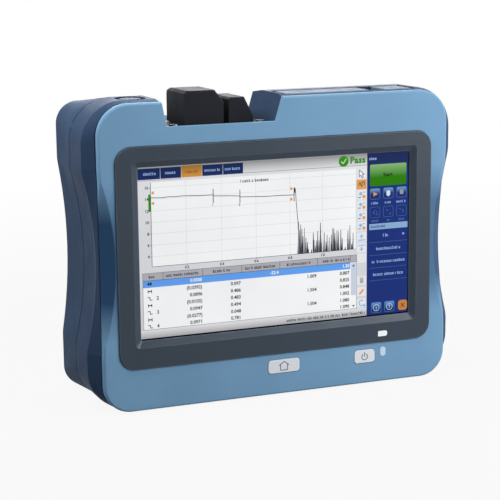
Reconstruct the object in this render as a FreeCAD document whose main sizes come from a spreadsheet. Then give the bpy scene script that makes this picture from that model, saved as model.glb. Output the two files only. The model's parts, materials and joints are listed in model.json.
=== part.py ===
import FreeCAD, Part
import math
import os
import re
import Sketcher

# A handheld optical time domain reflectometer, standing on its base.
# Frame in millimetres: +X to the user's right, the screen faces -Y, +Z up.
# The origin is the centre of the bounding box on the surface it stands on.

Vector = FreeCAD.Vector

SIZES = {
    # case form
    "case_width": 206.0, "case_depth": 66.0, "case_top": 158.6, "base_height": 0.8,
    "front_inset": 6.2, "front_width": "=case_width - 2 * front_inset",
    "front_drop": 1.0, "front_top": "=case_top - front_drop", "front_base": 0.8,
    "back_inset": 1.7, "back_width": "=case_width - 2 * back_inset",
    "back_drop": 4.0, "back_top": "=case_top - back_drop", "top_radius": 22.0, "base_radius": 21.0,
    "back_top_radius": 12.0, "back_base_radius": 11.0, "front_top_radius": 16.0,
    "front_base_radius": 14.0, "waist_depth": 6.0, "back_waist": 4.0, "front_waist": 1.6,
    "waist_centre": 77.8, "waist_reach": 48.5, "waist_bulge": 25.0, "face_setback": 0.8, "face_round": 1.2,
    "seam_depth": 4.0, "seam_share": 0.05, "seam_width": 0.5, "seam_inset": 0.7,
    "flare_depth": 10.0, "groove_place": 31.0, "groove_width": 0.9,
    "groove_inset": 1.2, "back_taper": 61.0, "back_round": 3.6,
    "wall": 2.4, "front_wall": 2.2, "back_wall": 3.0,
    "scoop_depth": 5.4, "scoop_reach": 45.0, "scoop_angle": 45.0,
    # screen
    "screen_x": -0.7, "screen_height": 81.3, "window_width": 152.0, "window_tall": 88.4,
    "window_radius": 0.8, "bezel_width": 176.0, "bezel_tall": 113.6, "bezel_drop": 1.8,
    "bezel_radius": 8.5, "bezel_thick": 3.0, "bezel_gap": 0.15, "flange_thick": 1.4,
    "flange_reach": 1.4, "flange_inset": 4.0, "bevel_width": 3.4, "bevel_depth": 2.0,
    "glass_width": 161.0, "glass_tall": 98.0, "glass_thick": 1.8, "glass_gap": 0.1,
    "lcd_width": 165.0, "lcd_tall": 104.0, "lcd_thick": 6.2,
    # buttons
    "home_x": 1.2, "home_width": 18.0, "power_x": 48.4, "power_width": 12.2, "key_height": 15.9,
    "key_tall": 7.2, "key_radius": 1.8, "key_gap": 0.25, "key_proud": 0.3, "key_travel": 0.6,
    "key_flange": 1.2, "key_flange_thick": 1.0, "light_x": 59.4, "light_height": 17.6,
    "light_width": 3.2, "light_tall": 5.1, "switch_side": 6.0, "switch_tall": 4.4,
    "key_rest": 0.1, "stem_radius": 1.6, "stem_length": 0.3, "plunger_radius": 1.7,
    "plunger_length": 1.2, "key_board_gap": 0.2, "key_board_width": 84.0,
    "key_board_tall": 13.0, "key_board_x": 24.0, "board_thick": 1.2,
    # recess at the top and its optical ports
    "recess_left": -61.0, "recess_right": -1.9, "recess_left_flare": 2.8,
    "recess_right_flare": 4.3, "recess_drop": 14.5, "recess_floor": "=case_top - recess_drop",
    "recess_lip": 1.0, "recess_turn": 45.0, "recess_reach": 17.0, "recess_round": 3.0,
    "panel_thick": 1.6, "panel_gap": 0.2, "panel_front": 4.6, "panel_back": 43.4,
    "cap_front": 9.0, "cap_back": 37.0, "cap_gap": 0.3, "cap_wall": 1.5,
    "cap_back_wall": 2.6, "cap_back_round": 4.0,
    "main_cap_x": -38.2, "main_cap_width": 21.0, "main_cap_tall": 17.4,
    "main_bevel_wide": 4.6, "main_bevel_tall": 6.0,
    "side_cap_x": -18.1, "side_cap_width": 13.4, "side_cap_tall": 13.2,
    "side_slope_wide": 4.8, "side_slope_low": 3.4,
    "hinge_back": "=cap_back + 2.8", "hinge_rise": 3.5, "knuckle_radius": 2.2, "cap_pin_radius": 0.9,
    "running_gap": 0.05, "ear_thick": 2.2, "main_knuckle": 9.0, "side_knuckle": 4.4,
    "port_depth": 17.2, "barrel_radius": 4.0, "barrel_rise": 9.0,
    "side_barrel_radius": 3.2, "side_barrel_rise": 6.0, "barrel_bore": 2.3,
    "nut_radius": 5.4, "nut_drop": 6.0, "sleeve_radius": 2.25, "ferrule_radius": 1.25,
    "sleeve_length": 8.0, "panel_screw_radius": 1.2, "panel_screw_head": 2.2,
    "panel_screw_head_thick": 1.0, "panel_screw_length": 4.6, "panel_screw_depth": 12.0,
    "panel_screw_inset": 7.3, "panel_screw_edge": 4.7,
    # meter port in the left shoulder
    "meter_x": -74.2, "meter_depth": 19.0, "meter_well_wide": 15.0, "meter_well_deep": 20.0,
    "meter_well_drop": 3.2, "meter_cap_radius": 6.0, "meter_cap_gap": 0.1,
    # doors in the right shoulder
    "door_front": 6.5, "door_wide": 17.5, "door_thick": 1.8, "door_gap": 0.25,
    "door_drop": 0.2, "door_top": "=case_top - door_drop",
    "door_pin_radius": 0.7, "door_knuckle": 1.5, "data_door_left": 6.8, "data_door_length": 48.0,
    "dc_door_left": 62.8, "dc_door_length": 16.5, "notch_wide": 3.4, "notch_drop": 4.6,
    "well_drop": 3.8, "well_start": 2.0, "well_end": 1.0, "well_ledge": 1.5,
    "door_relief": 1.0, "door_pin_reach": 1.9,
    "lan_x": 18.1, "lan_wide": 15.9, "lan_deep": 13.2, "lan_tall": 16.6, "lan_mouth_wide": 11.8,
    "lan_mouth_deep": 7.4, "lan_mouth_drop": 13.0,
    "usb_first_x": 36.6, "usb_second_x": 47.6, "usb_wide": 6.8, "usb_deep": 14.2, "usb_tall": 17.0,
    "usb_mouth_wide": 5.1, "usb_mouth_deep": 12.5, "usb_mouth_drop": 12.0, "usb_tongue": 1.8,
    "jack_x": 71.0, "jack_side": 11.0, "jack_tall": 14.0, "jack_bore": 3.1, "jack_bore_drop": 10.0,
    "jack_pin": 1.0,
    # inside
    "chassis_place": 11.0, "chassis_thick": 1.2, "chassis_inset": 11.0,
    "chassis_width": "=case_width - 2 * chassis_inset", "chassis_low": 9.0,
    "chassis_high": 137.0, "chassis_ear": 12.0,
    "screw_inset": 15.0, "screw_x": "=case_width / 2 - screw_inset", "screw_low": 14.0,
    "screw_drop": 13.6, "screw_high": "=case_top - screw_drop",
    "boss_radius": 3.6, "screw_radius": 1.5, "screw_slack": 0.2,
    "screw_head_radius": 2.9, "screw_head_thick": 2.6, "screw_sunk": 0.4, "screw_tip": 5.6,
    "board_screw_head": 1.6,
    "main_board_width": 150.0, "main_board_tall": 112.0, "main_board_thick": 1.6,
    "main_board_low": 22.0, "standoff_length": 3.0, "standoff_radius": 2.6,
    "standoff_inset": 6.0, "optics_width": 56.0, "optics_tall": 38.0, "optics_deep": 19.6,
    "optics_x": -32.0,
    # battery, stand and feet
    "bay_width": 114.0, "bay_tall": 50.0, "bay_height": 108.0, "bay_deep": 22.6, "bay_wall": 2.0,
    "cover_rim": 4.0, "cover_thick": 1.6, "cover_gap": 0.2, "pack_gap": 0.4,
    "stand_width": 110.0, "stand_low": 12.0, "stand_axis": 68.0, "stand_thick": 5.0,
    "stand_gap": 0.4, "stand_pin_radius": 1.6, "stand_pin_length": 7.0, "stand_radius": 8.0,
    "stand_pin_reach": 3.0, "stand_window": 66.0, "stand_bar": 14.0, "pull_radius": 9.0, "stand_dent": 0.8,
    "cover_screw_radius": 0.9, "cover_head_radius": 2.0, "cover_head_thick": 0.8,
    "grip_tall": 1.6, "grip_pitch": 4.0,
    "foot_x": 68.0, "foot_length": 26.0, "foot_wide": 10.0, "foot_thick": 2.0,
    "foot_front": 16.0, "foot_back": 42.0,
}

doc = FreeCAD.newDocument("reflectometer")
sheet = doc.addObject("Spreadsheet::Sheet", "Sizes")
for row, (alias, number) in enumerate(SIZES.items(), start=1):
    sheet.set(f"A{row}", alias)
    sheet.set(f"B{row}", str(number))
    sheet.setAlias(f"B{row}", alias)
doc.recompute()


class Values:
    """Reads a named size back from the sheet."""

    def __getattr__(self, alias):
        return float(sheet.get(alias))


size = Values()
front = -size.case_depth / 2   # plane of the bezel's face; depths are counted from it
beyond = 2 * size.case_width    # farther out than any part of the case
ALIAS = re.compile(r"[a-z][a-z_]+[a-z]")
nodes = []


def bound(text):
    """An expression in aliases, written for the document's expression engine."""
    return ALIAS.sub(lambda word: "Sizes." + word.group(0), text)


def bind(item, prop, text):
    item.setExpression(prop, bound(text))


def place(item, x="0", y="0", z="0"):
    """Places an item; y is the depth behind the bezel's face."""
    bind(item, "Placement.Base.x", x)
    bind(item, "Placement.Base.y", f"({y}) - case_depth / 2")
    bind(item, "Placement.Base.z", z)


def value(text):
    """The number that an expression in aliases has now."""
    return float(sheet.evalExpression(bound(text)))


# ---------------------------------------------------------------- sketched pieces

class Piece:
    """A body made of sketches and features, placed by expressions."""

    def __init__(self, label, x="0", y="0", z="0"):
        self.body = doc.addObject("PartDesign::Body", label)
        self.body.Label = label
        place(self.body, x, y, z)
        nodes.append(self.body)

    def sketch(self, plane, rise="0"):
        """A sketch on an origin plane; rise moves it along the plane's normal."""
        made = self.body.newObject("Sketcher::SketchObject", "Sketch")
        planes = [item for item in self.body.Origin.OriginFeatures if item.Role == plane]
        made.AttachmentSupport = [(planes[0], "")]
        made.MapMode = "FlatFace"
        bind(made, "AttachmentOffset.Base.z", rise)
        return made

    def limit(self, made, kind, first, where, text):
        """A distance of one point from the origin, bound to an expression."""
        number = made.addConstraint(Sketcher.Constraint(kind, -1, 1, first, where, value(text)))
        made.setExpression(f"Constraints[{number}]", bound(text))

    def rectangle(self, plane, wide, tall, radius, x="0", y="0", rise="0", made=None):
        """A rectangle with round corners, centred on x and y."""
        made = made or self.sketch(plane, rise)
        w, t, r = value(wide) / 2, value(tall) / 2, value(radius)
        cx, cy = value(x), value(y)
        corners = [(w, t), (-w, t), (-w, -t), (w, -t)]
        start = made.GeometryCount
        for turn, (px, py) in enumerate(corners):
            mx, my = cx + px - math.copysign(r, px), cy + py - math.copysign(r, py)
            circle = Part.Circle(Vector(mx, my, 0), Vector(0, 0, 1), r)
            made.addGeometry(Part.ArcOfCircle(circle, turn * math.pi / 2, (turn + 1) * math.pi / 2))
        ends = [made.getPoint(start + turn, 2) for turn in range(4)]
        begins = [made.getPoint(start + (turn + 1) % 4, 1) for turn in range(4)]
        for turn in range(4):
            made.addGeometry(Part.LineSegment(ends[turn], begins[turn]))
        for turn in range(4):
            arc, line, after = start + turn, start + 4 + turn, start + (turn + 1) % 4
            made.addConstraint(Sketcher.Constraint("Tangent", arc, 2, line, 1))
            made.addConstraint(Sketcher.Constraint("Tangent", line, 2, after, 1))
        for turn in range(3):
            made.addConstraint(Sketcher.Constraint("Equal", start, start + turn + 1))
        made.addConstraint(Sketcher.Constraint("Horizontal", start + 4))
        number = made.addConstraint(Sketcher.Constraint("Radius", start, r))
        made.setExpression(f"Constraints[{number}]", bound(radius))
        self.limit(made, "DistanceX", start, 1, f"({x}) + ({wide}) / 2")
        self.limit(made, "DistanceY", start, 2, f"({y}) + ({tall}) / 2")
        self.limit(made, "DistanceX", start + 2, 1, f"({x}) - ({wide}) / 2")
        self.limit(made, "DistanceY", start + 2, 2, f"({y}) - ({tall}) / 2")
        return made

    def circle(self, plane, radius, x="0", y="0", rise="0", made=None):
        made = made or self.sketch(plane, rise)
        centre = Vector(value(x), value(y), 0)
        ring = made.addGeometry(Part.Circle(centre, Vector(0, 0, 1), value(radius)))
        number = made.addConstraint(Sketcher.Constraint("Radius", ring, value(radius)))
        made.setExpression(f"Constraints[{number}]", bound(radius))
        self.limit(made, "DistanceX", ring, 3, x)
        self.limit(made, "DistanceY", ring, 3, y)
        return made

    def polygon(self, plane, points, rise="0"):
        """A closed outline through points given as pairs of expressions."""
        made = self.sketch(plane, rise)
        spots = [Vector(value(x), value(y), 0) for x, y in points]
        for number, spot in enumerate(spots):
            made.addGeometry(Part.LineSegment(spot, spots[(number + 1) % len(spots)]))
        for number in range(len(spots)):
            after = (number + 1) % len(spots)
            made.addConstraint(Sketcher.Constraint("Coincident", number, 2, after, 1))
        for number, (x, y) in enumerate(points):
            self.limit(made, "DistanceX", number, 1, x)
            self.limit(made, "DistanceY", number, 1, y)
        return made

    def feature(self, kind, made, length, reverse):
        item = self.body.newObject("PartDesign::" + kind, kind)
        item.Profile = made
        bind(item, "Length", length)
        item.Reversed = reverse
        made.Visibility = False
        self.body.Tip = item
        return item

    def pad(self, made, length, reverse=False):
        return self.feature("Pad", made, length, reverse)

    def pocket(self, made, length, reverse=False):
        return self.feature("Pocket", made, length, reverse)

    def turn(self, made, kind="Revolution"):
        """Revolves a sketch made on XZ_Plane about its own vertical axis."""
        item = self.body.newObject("PartDesign::" + kind, kind)
        item.Profile = made
        item.ReferenceAxis = (made, ["V_Axis"])
        item.Angle = 360
        self.body.Tip = item
        return item

    def dress(self, kind, amount, choose):
        """Rounds or bevels the edges that choose picks."""
        doc.recompute()
        base = self.body.Tip
        names = [f"Edge{n}" for n, edge in enumerate(base.Shape.Edges, start=1) if choose(edge)]
        item = self.body.newObject("PartDesign::" + kind, kind)
        item.Base = (base, names)
        bind(item, "Radius" if kind == "Fillet" else "Size", amount)
        self.body.Tip = item
        return item


def level_at(height, edge):
    """True for an edge that lies wholly at one height of its body."""
    return abs(edge.BoundBox.ZMin - height) < 1e-4 and abs(edge.BoundBox.ZMax - height) < 1e-4


def facing(depth, edge):
    """True for an edge that lies wholly at one depth of its body."""
    return abs(edge.BoundBox.YMin - depth) < 1e-4 and abs(edge.BoundBox.YMax - depth) < 1e-4


# ---------------------------------------------------------------- primitive pieces

def block(name, wide, deep, tall, x="0", y="0", z="0"):
    """A box centred on x, from depth y backwards and from height z up."""
    item = doc.addObject("Part::Box", name)
    bind(item, "Length", wide)
    bind(item, "Width", deep)
    bind(item, "Height", tall)
    place(item, f"({x}) - ({wide}) / 2", y, z)
    return item


AXES = {"x": Vector(0, 1, 0), "y": Vector(-1, 0, 0), "z": Vector(0, 0, 1)}


def rod(name, radius, length, x="0", y="0", z="0", along="z"):
    """A cylinder that starts at the given point and runs along +X, +Y or +Z."""
    item = doc.addObject("Part::Cylinder", name)
    bind(item, "Radius", radius)
    bind(item, "Height", length)
    angle = 0 if along == "z" else 90
    item.Placement = FreeCAD.Placement(Vector(), FreeCAD.Rotation(AXES[along], angle))
    place(item, x, y, z)
    return item


def joined(name, *items):
    item = doc.addObject("Part::MultiFuse", name)
    item.Shapes = list(items)
    item.Refine = True
    return item


def less(name, base, *tools):
    """The base with the tools cut out of it."""
    tool = tools[0] if len(tools) == 1 else joined(name + "_tools", *tools)
    item = doc.addObject("Part::Cut", name)
    item.Base = base
    item.Tool = tool
    item.Refine = True
    return item


def node(label, item):
    item.Label = label
    nodes.append(item)
    return item


def group(label, *items):
    """Several separate solids that share one node."""
    item = doc.addObject("Part::Compound", label)
    item.Links = list(items)
    return node(label, item)


# ---------------------------------------------------------------- the case's form

def outline(depth, half, top, base, top_radius, base_radius, waist):
    """The case's closed outline at one depth: round corners and drawn-in sides."""
    y = front + depth
    bulge = size.waist_bulge
    reach = size.waist_reach
    centre = size.waist_centre
    total = (waist ** 2 + reach ** 2) / (2 * waist)
    hollow = total - bulge
    lean = math.atan2(reach, total - waist)

    def arc(cx, cz, radius, begin, end):
        points = []
        for share in (0, 0.5, 1):
            angle = begin + (end - begin) * share
            points.append((cx + radius * math.cos(angle), cz + radius * math.sin(angle)))
        return points

    quarter = math.pi / 2
    side = [
        arc(half - top_radius, top - top_radius, top_radius, quarter, 0),
        [(half, top - top_radius), (half, centre + reach)],
        arc(half - bulge, centre + reach, bulge, 0, -lean),
        arc(half - waist + hollow, centre, hollow, math.pi - lean, math.pi + lean),
        arc(half - bulge, centre - reach, bulge, lean, 0),
        [(half, centre - reach), (half, base + base_radius)],
        arc(half - base_radius, base + base_radius, base_radius, 0, -quarter),
    ]
    mirrored = [[(-x, z) for x, z in reversed(run)] for run in reversed(side)]
    runs = side + [[side[-1][-1], mirrored[0][0]]] + mirrored + [[mirrored[-1][-1], side[0][0]]]
    edges = []
    for run in runs:
        points = [Vector(x, y, z) for x, z in run]
        if len(points) == 2:
            edges.append(Part.LineSegment(*points).toShape())
        else:
            edges.append(Part.Arc(*points).toShape())
    return Part.Wire(edges)


def section(depth, share, inset=0.0):
    """An outline between the front face (share 0) and the widest band (share 1)."""

    def mix(first, second):
        return first + (second - first) * share - inset

    half = mix(size.front_width / 2, size.case_width / 2)
    top = mix(size.front_top, size.case_top)
    base = size.front_base + (size.base_height - size.front_base) * share + inset
    top_radius = mix(size.front_top_radius, size.top_radius)
    base_radius = mix(size.front_base_radius, size.base_radius)
    waist = size.front_waist + (size.waist_depth - size.front_waist) * share
    return outline(depth, half, top, base, top_radius, base_radius, waist)


def back_section(depth, inset=0.0):
    """An outline near the back of the case, a little smaller than the widest band."""
    half = size.back_width / 2 - inset
    top = size.back_top - inset
    base = size.base_height + inset
    return outline(depth, half, top, base, size.back_top_radius - inset,
                   size.back_base_radius - inset, size.back_waist)


def lofted(*wires):
    return Part.makeLoft(list(wires), True, True)


def column(wire, length):
    """A straight prism from an outline towards the back."""
    return Part.Face(wire).extrude(Vector(0, length, 0))


def case_form(inset):
    """The whole case without its grooves; the inner form is the same, set in by a wall."""
    start = size.face_setback if inset == 0 else size.face_setback + size.front_wall
    end = size.case_depth if inset == 0 else size.case_depth - size.back_wall
    early = lofted(section(start, 0, inset), section(size.seam_depth, size.seam_share, inset))
    flare = lofted(section(size.seam_depth, size.seam_share, inset), section(size.flare_depth, 1, inset))
    band = column(section(size.flare_depth, 1, inset), size.groove_place - size.flare_depth)
    taper = lofted(section(size.groove_place, 1, inset), back_section(size.back_taper, inset))
    tail = column(back_section(size.back_taper, inset), end - size.back_taper)
    if inset == 0:
        rim = [edge for edge in early.Edges if facing(front + start, edge)]
        early = early.makeFillet(size.face_round, rim)
        rim = [edge for edge in tail.Edges if facing(front + end, edge)]
        tail = tail.makeFillet(size.back_round, rim)
    return early, flare, band, taper, tail


def fused(pieces):
    return pieces[0].multiFuse(list(pieces[1:]))


def scoop(side, extra=0.0):
    """The cylinder that hollows the front edge for a thumb, at one side of the waist."""
    angle = math.radians(size.scoop_angle)
    along = Vector(side * math.cos(angle), math.sin(angle), 0)
    outward = Vector(side * math.sin(angle), -math.cos(angle), 0)
    radius = (size.scoop_reach ** 2 + size.scoop_depth ** 2) / (2 * size.scoop_depth)
    corner = Vector(side * (size.front_width / 2), front + size.face_setback, size.waist_centre)
    centre = corner + outward * (radius - size.scoop_depth)
    length = size.case_depth
    return Part.makeCylinder(radius + extra, length, centre - along * (length / 2), along)


def prism(points, depth, length):
    """A prism with an XZ outline, from one depth backwards."""
    spots = [Vector(x, front + depth, z) for x, z in points]
    return Part.Face(Part.makePolygon(spots + spots[:1])).extrude(Vector(0, length, 0))


def brick(left, right, low, high, near, far):
    """A box between X, Z and depth limits."""
    corner = Vector(left, front + near, low)
    return Part.makeBox(right - left, far - near, high - low, corner)


def slab(near, far):
    """Everything between two depths."""
    return brick(-beyond, beyond, -beyond, beyond, near, far)


def rounded_block(x, z, half, tall, radius, near, far):
    """A prism along Y with a round-cornered outline."""
    box = brick(x - half, x + half, z - tall, z + tall, near, far)
    return box.makeFillet(radius, [edge for edge in box.Edges if along_y(edge)])


def along_y(edge):
    line = edge.Vertexes[-1].Point - edge.Vertexes[0].Point
    return abs(line.y) > 0.999 * line.Length > 0


def tube_along_y(radius, near, far, x, z):
    return Part.makeCylinder(radius, far - near, Vector(x, front + near, z), Vector(0, 1, 0))


def upright_tube(radius, low, high, x, depth):
    return Part.makeCylinder(radius, high - low, Vector(x, front + depth, low))


def octagon(radius, low, high, x, depth):
    """An eight-sided prism that stands round a cylinder of this radius."""
    corner = radius / math.cos(math.pi / 8)
    spots = []
    for turn in range(8):
        angle = (turn + 0.5) * math.pi / 4
        spots.append(Vector(x + corner * math.cos(angle), front + depth + corner * math.sin(angle), low))
    return Part.Face(Part.makePolygon(spots + spots[:1])).extrude(Vector(0, 0, high - low))


def recess(floor, near, far, grow=0.0):
    """The trough at the top between the shoulders, with leaning side walls."""
    top = size.case_top + 4
    low = floor - grow
    left, right = [], []
    for z in sorted({low, max(low, size.recess_floor), top}):
        share = max(z - size.recess_floor, 0) / size.recess_drop
        left.append((size.recess_left - grow - size.recess_left_flare * share, z))
        right.append((size.recess_right + grow + size.recess_right_flare * share, z))
    return prism(left + right[::-1], near, far - near)


def recess_behind(grow=0.0):
    """The wider back end of the trough, past the right wall's rounded rear edge."""
    low = size.recess_floor - grow
    far = size.case_depth + 1
    return brick(size.recess_right, size.recess_reach + grow, low, sky, size.recess_turn - grow, far)


def wall_end():
    """What rounds the rear edge of the trough's right wall."""
    radius = size.recess_round
    near = size.recess_turn - radius
    height = sky - size.recess_floor
    rise = Vector(size.recess_right_flare * height / size.recess_drop, 0, height)
    corner = Vector(size.recess_right, front + near, size.recess_floor)
    ends = ((-1, 0), (radius, 0), (radius, radius + 1), (-1, radius + 1))
    spots = [corner + Vector(x, y, 0) for x, y in ends]
    square = Part.Face(Part.makePolygon(spots + spots[:1]))
    ring = Part.Wire(Part.makeCircle(radius, corner + Vector(radius, 0, 0)))
    return square.extrude(rise).cut(Part.Face(ring).extrude(rise))


sky = size.case_top + 12   # above everything that is cut from the shoulders
screw_spots = [(side * size.screw_x, z) for z in (size.screw_low, size.screw_high) for side in (-1, 1)]
door_spots = [(size.data_door_left, size.data_door_length), (size.dc_door_left, size.dc_door_length)]
door_back = size.door_front + size.door_wide
socket_top = size.door_top - size.well_drop
panel_base = size.recess_floor - size.panel_thick
outer = case_form(0.0)
inner = case_form(size.wall)


def shoulder_cuts():
    """What is cut into the two shoulders: door wells, finger notches and the meter's well."""
    cuts = []
    near, far = size.door_front - size.door_gap, door_back + size.door_gap
    seat = size.door_top - size.door_thick
    for left, length in door_spots:
        right = left + length
        knuckle = right - 2 * size.door_knuckle - size.door_gap
        low = size.door_top - 2 * size.door_knuckle - size.door_gap
        cuts.append(brick(left - size.notch_wide, left, size.case_top - size.notch_drop, sky, near, far))
        cuts.append(brick(left - size.door_gap, right, seat, sky, near, far))
        cuts.append(brick(knuckle, right + size.door_relief, low, sky, near, far))
        cuts.append(brick(left + size.well_start, knuckle - size.well_end, socket_top, sky,
                          near + size.well_ledge, far - size.well_ledge))
    first, second = door_spots
    between = brick(first[0] + first[1], second[0], size.case_top - size.notch_drop, sky, near, far)
    cuts.append(between)
    half, run = size.meter_well_wide / 2, (size.meter_well_deep - size.meter_well_wide) / 2
    low = size.case_top - size.meter_well_drop
    for shift in (-run, run):
        cuts.append(upright_tube(half, low, sky, size.meter_x, size.meter_depth + shift))
    cuts.append(brick(size.meter_x - half, size.meter_x + half, low, sky,
                      size.meter_depth - run, size.meter_depth + run))
    return cuts


def shoulder_lining():
    """Blocks that keep a wall under and round every well in the shoulders."""
    wall = size.wall
    near, far = size.door_front - size.door_gap - wall, door_back + size.door_gap + wall
    first, second = door_spots
    right = second[0] + second[1] + size.door_relief + wall
    doors = brick(first[0] - size.notch_wide - wall, right, socket_top - wall, sky, near, far)
    half = size.meter_well_wide / 2 + wall
    reach = size.meter_well_deep / 2 + wall
    low = size.case_top - size.meter_well_drop - wall
    meter = brick(size.meter_x - half, size.meter_x + half, low, sky,
                  size.meter_depth - reach, size.meter_depth + reach)
    return [doors, meter]


def socket_holes():
    """Holes in the floor of the door wells and shoulders for the sockets' bodies."""
    gap = size.panel_gap
    low = socket_top - size.wall - 1
    middle = size.door_front + size.door_wide / 2
    holes = []
    for x, wide, deep in ((size.lan_x, size.lan_wide, size.lan_deep),
                          (size.usb_first_x, size.usb_wide, size.usb_deep),
                          (size.usb_second_x, size.usb_wide, size.usb_deep),
                          (size.jack_x, size.jack_side, size.jack_side)):
        holes.append(brick(x - wide / 2 - gap, x + wide / 2 + gap, low, socket_top + 1,
                           middle - deep / 2 - gap, middle + deep / 2 + gap))
    low = size.case_top - size.meter_well_drop - size.wall - 1
    holes.append(octagon(size.barrel_radius + size.running_gap, low, sky, size.meter_x, size.meter_depth))
    low = panel_base - size.wall - 1
    for x in (size.main_cap_x, size.side_cap_x):
        holes.append(octagon(size.nut_radius + 2 * size.running_gap, low, panel_base + 1, x, size.port_depth))
    for x in (size.recess_left + size.panel_screw_inset, size.recess_right - size.panel_screw_edge):
        holes.append(upright_tube(size.panel_screw_radius, low, panel_base + 1, x,
                                  size.panel_screw_depth))
    reach = size.door_pin_reach
    for left, length in door_spots:
        x = left + length - size.door_knuckle
        z = size.door_top - size.door_knuckle
        holes.append(tube_along_y(size.door_pin_radius, size.door_front - reach, door_back + reach, x, z))
    return holes


def case_solid():
    """The hollow case before it is parted into its three shells."""
    wall = size.wall
    hollow = fused(inner)
    keep = [scoop(-1, wall), scoop(1, wall)]
    keep.append(recess(panel_base, 0, size.case_depth, wall))
    keep.append(recess_behind(wall))
    keep += shoulder_lining()
    skin = fused(outer).cut([scoop(-1), scoop(1)]).cut(hollow.cut(keep))
    lip = size.panel_front - size.panel_gap
    far = size.panel_back + size.panel_gap
    cuts = [recess(panel_base, lip, far),
            recess(size.recess_floor + size.recess_lip, -1, size.seam_depth + 1),
            recess(size.recess_floor, size.seam_depth, size.case_depth + 1),
            recess_behind(), wall_end()]
    return skin.cut(cuts + shoulder_cuts()).cut(socket_holes())


def front_region(slack=0.0):
    """Everything in front of the first seam, which bends back round the thumb scoops."""
    return slab(-1, size.seam_depth).multiFuse([scoop(side, size.wall + slack) for side in (-1, 1)])


def computed(label, shape):
    """A node whose form is worked out from the sheet's values."""
    item = doc.addObject("Part::Feature", label)
    item.Shape = shape
    item.Placement = FreeCAD.Placement()
    return node(label, item)


case = case_solid()
groove_end = size.groove_place + size.groove_width


def front_shell():
    """The pale front: a face with the bezel's window, key holes, posts and thumb scoops."""
    shell = case.common(front_region())
    x, z = size.screen_x, size.screen_height - size.bezel_drop
    half = size.bezel_width / 2 + size.bezel_gap
    tall = size.bezel_tall / 2 + size.bezel_gap
    radius = size.bezel_radius + size.bezel_gap
    deep = size.chassis_place
    cuts = [rounded_block(x, z, half, tall, radius, 0, deep)]
    gap = size.key_gap
    half_key = size.key_tall / 2 + gap
    for key_x, wide in ((size.home_x, size.home_width), (size.power_x, size.power_width)):
        cuts.append(rounded_block(key_x, size.key_height, wide / 2 + gap, half_key,
                                  size.key_radius + gap, 0, deep))
    gap = size.running_gap
    cuts.append(rounded_block(size.light_x, size.light_height, size.light_width / 2 + gap,
                              size.light_tall / 2 + gap, size.light_width / 2 - 2 * gap, 0, deep))
    shell = shell.cut(cuts)
    back = size.face_setback + size.front_wall
    for px, pz in screw_spots:
        post = tube_along_y(size.boss_radius, back - 0.5, size.chassis_place, px, pz)
        hole = tube_along_y(size.screw_radius, size.screw_tip - 0.4, size.chassis_place + 1, px, pz)
        shell = shell.fuse(post).cut(hole)
    return shell


def boss_webs(near, far):
    """Screw bosses joined to the side walls by a rib each."""
    parts = []
    whole = fused(outer)
    for x, z in screw_spots:
        side = math.copysign(1, x)
        parts.append(tube_along_y(size.boss_radius, near, far, x, z))
        ends = sorted((x, side * size.case_width / 2))
        rib = brick(ends[0], ends[1], z - 1, z + 1, near, far)
        parts.append(rib.common(whole))
    return parts


def mid_housing():
    """The dark middle band with the shoulders, wells and screw bosses."""
    band = case.common(slab(size.seam_depth, size.groove_place)).cut(front_region(size.running_gap))
    near = size.chassis_place + size.chassis_thick
    band = band.multiFuse(boss_webs(near, size.groove_place))
    slack = size.screw_radius + size.screw_slack
    holes = [tube_along_y(slack, near - 1, size.groove_place + 1, x, z) for x, z in screw_spots]
    beside = size.boss_radius + size.screw_slack
    holes += [tube_along_y(beside, size.seam_depth, near, x, z) for x, z in screw_spots]
    cut_top = recess(panel_base, size.panel_front - size.panel_gap, size.case_depth)
    sunk = lofted(section(size.seam_depth, size.seam_share, size.seam_inset),
                  section(size.flare_depth, 1, size.seam_inset))
    seam = case_form(0.0)[1].cut(sunk).common(slab(size.seam_depth, size.seam_depth + size.seam_width))
    return band.cut(holes + [cut_top, seam] + foot_pockets())


def foot_pockets():
    """Shallow pockets in the base for the rubber feet."""
    pockets = []
    half = size.foot_length / 2
    for near in (size.foot_front, size.foot_back):
        for x in (-size.foot_x, size.foot_x):
            pockets.append(brick(x - half, x + half, -1, size.foot_thick, near, near + size.foot_wide))
    return pockets


def bay_box(half, tall, near, far):
    low, high = size.bay_height - tall, size.bay_height + tall
    return brick(-half, half, low, high, near, far)


def stand_box(grow, near, far):
    """The space of the folding stand in the back wall."""
    half = size.stand_width / 2 + grow
    low = size.stand_low - grow
    return brick(-half, half, low, size.stand_axis + size.stand_thick / 2 + grow, near, far)


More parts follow.
